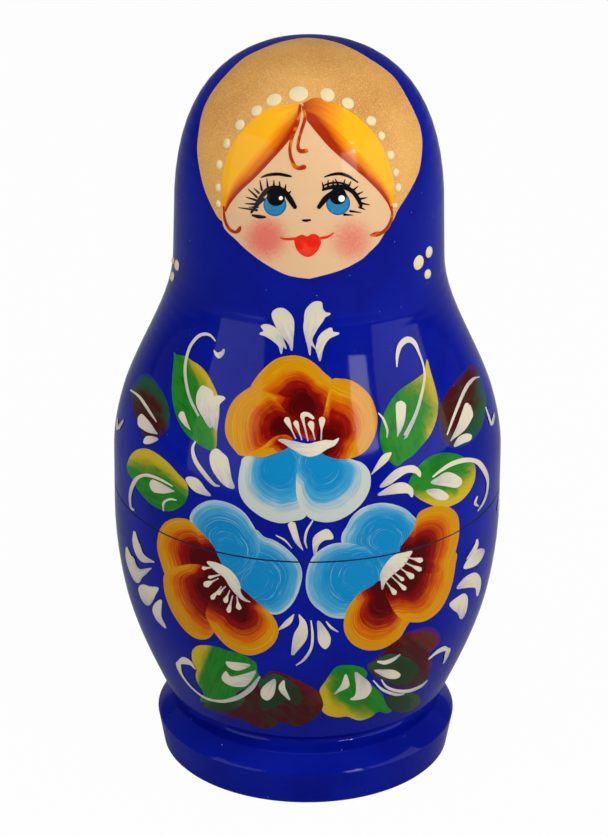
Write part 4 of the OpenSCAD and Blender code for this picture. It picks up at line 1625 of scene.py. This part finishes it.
class DOLL_OT_paint_face(bpy.types.Operator):
    """Paints the kerchief's front, the face and the hair"""

    bl_idname = "nesting_doll.paint_face"
    bl_label = "Paint face"

    def execute(self, context):
        def rouge(pixels):
            red = 0
            for x, y, r, strength in BLUSH:
                away = np.hypot(pixels[:, 0] - x, pixels[:, 1] - y) / (BLUSH_REACH * r)
                red = red + strength * np.exp(-away ** BLUSH_FALL)
            return np.clip(red, 0, 1)

        def disc(x, y, r):
            turn = np.linspace(0, 2 * math.pi, DISC_CORNERS, endpoint=False)
            return np.column_stack([x + r * np.cos(turn), y + r * np.sin(turn)])

        def patches(ground, cell):
            coat = Coat(ground, cell)
            coat.patch(KERCHIEF, KERCHIEF_CORE, COAT["kerchief"], "gold")
            coat.patch(FACE, FACE_CORE, COAT["face"], "face", rouge)
            for shade, outer_edge, inner_edge in HAIR:
                coat.band(outer_edge, inner_edge, COAT["hair"], "hair", shade)
            discs = (IRISES, "iris", "iris"), (PUPILS, "pupil", "ink"), (EYE_LIGHTS, "eye_light", "light")
            for group, layer, kind in discs:
                for x, y, r in group:
                    coat.patch(disc(x, y, r), (x, y), COAT[layer], kind)
            coat.patch(LIPS, LIPS_CORE, COAT["lips"], "lips")
            return coat.mesh("face_paint")

        paint_dolls("face_paint", patches)
        return {"FINISHED"}


class DOLL_OT_paint_flowers(bpy.types.Operator):
    """Paints the petals and collars of the three flowers"""

    bl_idname = "nesting_doll.paint_flowers"
    bl_label = "Paint flowers"

    def execute(self, context):
        def patches(ground, cell):
            coat = Coat(ground, cell)
            for heart, flower in FLOWERS:
                for layer, (kind, core, rim) in enumerate(flower):
                    dark_end = None if kind in BLUE_KINDS else np.array(heart)
                    coat.patch(rim, core, COAT["petal"] + layer, kind, heart=dark_end)
            for rim in COLLARS:
                coat.shape(rim, COAT["collar"], "cream")
            return coat.mesh("flowers")

        paint_dolls("flowers", patches)
        return {"FINISHED"}


class DOLL_OT_paint_leaves(bpy.types.Operator):
    """Paints the bright and dark leaves"""

    bl_idname = "nesting_doll.paint_leaves"
    bl_label = "Paint leaves"

    def execute(self, context):
        def patches(ground, cell):
            coat = Coat(ground, cell)
            behind = []
            for i, *by in BACK_LEAVES:
                kind, core, first, second, rim = LEAVES[i]
                behind.append((kind, *moved((core, first, second), *by), moved(rim, *by)))
            for side, leaves in ((ground, LEAVES), (ground.behind(), behind)):
                coat.ground = side
                for layer, (kind, core, first, second, rim) in enumerate(leaves):
                    grain = np.array(first, float), np.array(second, float) - np.array(first, float)
                    coat.patch(rim, core, COAT["leaf"] + LEAF_STEP * layer, kind, grain=grain)
            return coat.mesh("leaves")

        paint_dolls("leaves", patches)
        return {"FINISHED"}


# Half widths along a lash, and at the middle and the tip of a stamen, in pixels
LASH_HALVES = (1.3, 0.9, 0.35)
STAMEN_HALVES = (0.9, 0.7)


class DOLL_OT_paint_strokes(bpy.types.Operator):
    """Draws the cream strokes, the stamens, and the lines of the face and hair"""

    bl_idname = "nesting_doll.paint_strokes"
    bl_label = "Paint strokes"

    def execute(self, context):
        tree = stroke_tree()
        root, half, tip = LASH_HALVES
        lashes = [[(*a, root), (*np.mean((a, b), axis=0), half), (*b, tip)] for a, b in LASHES]
        half, tip = STAMEN_HALVES
        stamens = [[(x, y, w), (0.75 * x + 0.25 * tx, 0.75 * y + 0.25 * ty, 0.7 * w),
                    (0.5 * (x + tx), 0.5 * (y + ty), half), (tx, ty, tip)] for x, y, tx, ty, w in STAMENS]
        groups = (
            ("cream_strokes", "cream", "stroke", STROKES + stamens + [HOOKED_STAMEN]),
            ("ink_lines", "ink", "ink", BROWS + LIDS + lashes + [NOSE]),
            ("hair_curls", "curl", "curls", HAIR_CURLS),
            ("lip_lines", "lips", "lips", SMILE),
        )
        for label, kind, layer, strokes in groups:
            def ridges(ground, cell):
                drawn = [(ground, stroke) for stroke in strokes]
                if kind == "cream":
                    drawn += [(ground.behind(), moved(STROKES[i], *by)) for i, *by in BACK_STROKES]
                lines = stroke_lines(drawn, COAT[layer], STROKE_STEP * cell, label)
                return outward(tree.grow(lines, {
                    "Corners": STROKE_CORNERS, "Relief": sizes().stroke_relief, "Paint": finish(kind)}))
            paint_dolls(label, ridges, False)

        def shapes(ground, cell):
            coat = Coat(ground, cell)
            behind = [moved(SHAPES[i], *by) for i, *by in BACK_SHAPES]
            for side, rims in ((ground, SHAPES), (ground.behind(), behind)):
                coat.ground = side
                for rim in rims:
                    coat.shape(rim, COAT["shape"], "cream")
            return coat.mesh("cream_shapes")

        paint_dolls("cream_shapes", shapes)
        return {"FINISHED"}


class DOLL_OT_set_dots(bpy.types.Operator):
    """Sets the raised dots of the kerchief and the shoulders"""

    bl_idname = "nesting_doll.set_dots"
    bl_label = "Set raised dots"

    def execute(self, context):
        tree = dot_tree()

        def domes(ground, cell):
            dots = [(ground, dot) for dot in BEADS + SHOULDER_DOTS]
            dots += [(ground.behind(), dot) for dot in BACK_DOTS]
            points = dot_points(dots, COAT["beads"], sizes().bead_height, "raised_dots")
            sides = DOT_SIDES if cell <= sizes().cell else COARSE_DOT_SIDES
            return outward(tree.grow(points, {"Sides": sides, "Paint": finish("bead")}))

        paint_dolls("raised_dots", domes, False)
        return {"FINISHED"}


class DOLL_OT_set_stage(bpy.types.Operator):
    """Sets the floor, the light and the camera"""

    bl_idname = "nesting_doll.set_stage"
    bl_label = "Set stage"

    def execute(self, context):
        scene = context.scene
        self.sweep(scene)
        self.world(scene)
        for lamp in LAMPS:
            self.lamp(scene, *lamp)
        lens = bpy.data.cameras.new("photo_camera")
        lens.sensor_fit = "HORIZONTAL"
        lens.sensor_width = SENSOR_MM
        lens.lens = FOCAL_PX * SENSOR_MM / PHOTO_WIDTH
        lens.shift_x = (PHOTO_WIDTH / 2 - AXIS_PX[0]) / PHOTO_WIDTH
        lens.shift_y = (AXIS_PX[1] - PHOTO_HEIGHT / 2) / PHOTO_WIDTH
        lens.clip_start = CLIP_START
        camera = bpy.data.objects.new("photo_camera", lens)
        right, up, ahead = camera_axes()
        turn = Matrix((right, up, -ahead)).transposed()
        camera.matrix_world = Matrix.LocRotScale(CAMERA_PLACE, turn.to_quaternion(), None)
        scene.collection.objects.link(camera)
        scene.camera = camera
        scene.view_settings.view_transform = "Standard"
        return {"FINISHED"}

    @staticmethod
    def sweep(scene):
        """A pale floor that curves up into a backdrop."""
        half, back, bend = sizes().floor_size / 2, sizes().floor_size / 3, sizes().floor_size / 8
        line = [(-half, 0.0)]
        line += [(back + bend * math.sin(a), bend * (1 - math.cos(a)))
                 for a in np.linspace(0, math.pi / 2, BEND_STEPS)]
        line.append((back + bend, half))
        places = [(x, y, z) for y, z in line for x in (-half, half)]
        faces = [(2 * i, 2 * i + 1, 2 * i + 3, 2 * i + 2) for i in range(len(line) - 1)]
        mesh = mesh_with("studio_sweep", places, (), faces)
        mesh.shade_smooth()
        f = Finish("studio_white")
        tint = f.blend(0.1 * f.noise(f.place(), 2.0), colours().floor, linear("#ffffff"))
        paper = f.node("ShaderNodeBsdfPrincipled", None, {
            "Base Color": tint, "Roughness": 0.9, "Specular IOR Level": 0.0})
        glow = f.node("ShaderNodeEmission", None, {"Color": (1, 1, 1, 1), "Strength": 1.0})
        seen = f.node("ShaderNodeLightPath", out="Is Camera Ray")
        shown = f.node("ShaderNodeMixShader", None, {0: WHITE_SHARE * seen, 1: paper, 2: glow})
        f.node("ShaderNodeOutputMaterial", None, {"Surface": shown})
        mesh.materials.append(f.material)
        floor = bpy.data.objects.new("studio_sweep", mesh)
        scene.collection.objects.link(floor)

    @staticmethod
    def world(scene):
        world = bpy.data.worlds.new("studio_light")
        world.use_nodes = True
        back = world.node_tree.nodes["Background"]
        back.inputs["Color"].default_value = (1, 1, 1, 1)
        back.inputs["Strength"].default_value = WORLD_STRENGTH
        scene.world = world

    @staticmethod
    def lamp(scene, name, place, size, watts):
        light = bpy.data.lights.new(name, "AREA")
        light.shape = "RECTANGLE"
        light.size, light.size_y = size
        light.energy = watts
        lamp = bpy.data.objects.new(name, light)
        aim = LAMP_AIM - Vector(place)
        lamp.matrix_world = Matrix.LocRotScale(Vector(place), aim.to_track_quat("-Z", "Y"), None)
        scene.collection.objects.link(lamp)


OPERATORS = (
    DOLL_OT_turn_shells, DOLL_OT_paint_face, DOLL_OT_paint_flowers, DOLL_OT_paint_leaves,
    DOLL_OT_paint_strokes, DOLL_OT_set_dots, DOLL_OT_set_stage,
)


class DOLL_PT_finish(bpy.types.Panel):
    """Steps of the doll's finish"""

    bl_idname = "DOLL_PT_finish"
    bl_label = "Nesting doll"
    bl_space_type = "VIEW_3D"
    bl_region_type = "UI"
    bl_category = "Nesting doll"

    def draw(self, context):
        for step in OPERATORS:
            self.layout.operator(step.bl_idname)
        for group in (context.scene.doll_sizes, context.scene.doll_colours):
            for key in group.__annotations__:
                self.layout.prop(group, key)


CLASSES = (DollColours, DollSizes, *OPERATORS, DOLL_PT_finish)


def register():
    for cls in CLASSES:
        bpy.utils.register_class(cls)
    bpy.types.Scene.doll_colours = PointerProperty(type=DollColours)
    bpy.types.Scene.doll_sizes = PointerProperty(type=DollSizes)


def unregister():
    del bpy.types.Scene.doll_sizes
    del bpy.types.Scene.doll_colours
    for cls in reversed(CLASSES):
        bpy.utils.unregister_class(cls)


def main():
    register()
    steps = bpy.ops.nesting_doll
    steps.turn_shells()
    steps.paint_face()
    steps.paint_flowers()
    steps.paint_leaves()
    steps.paint_strokes()
    steps.set_dots()
    steps.set_stage()


if __name__ == "__main__":
    main()
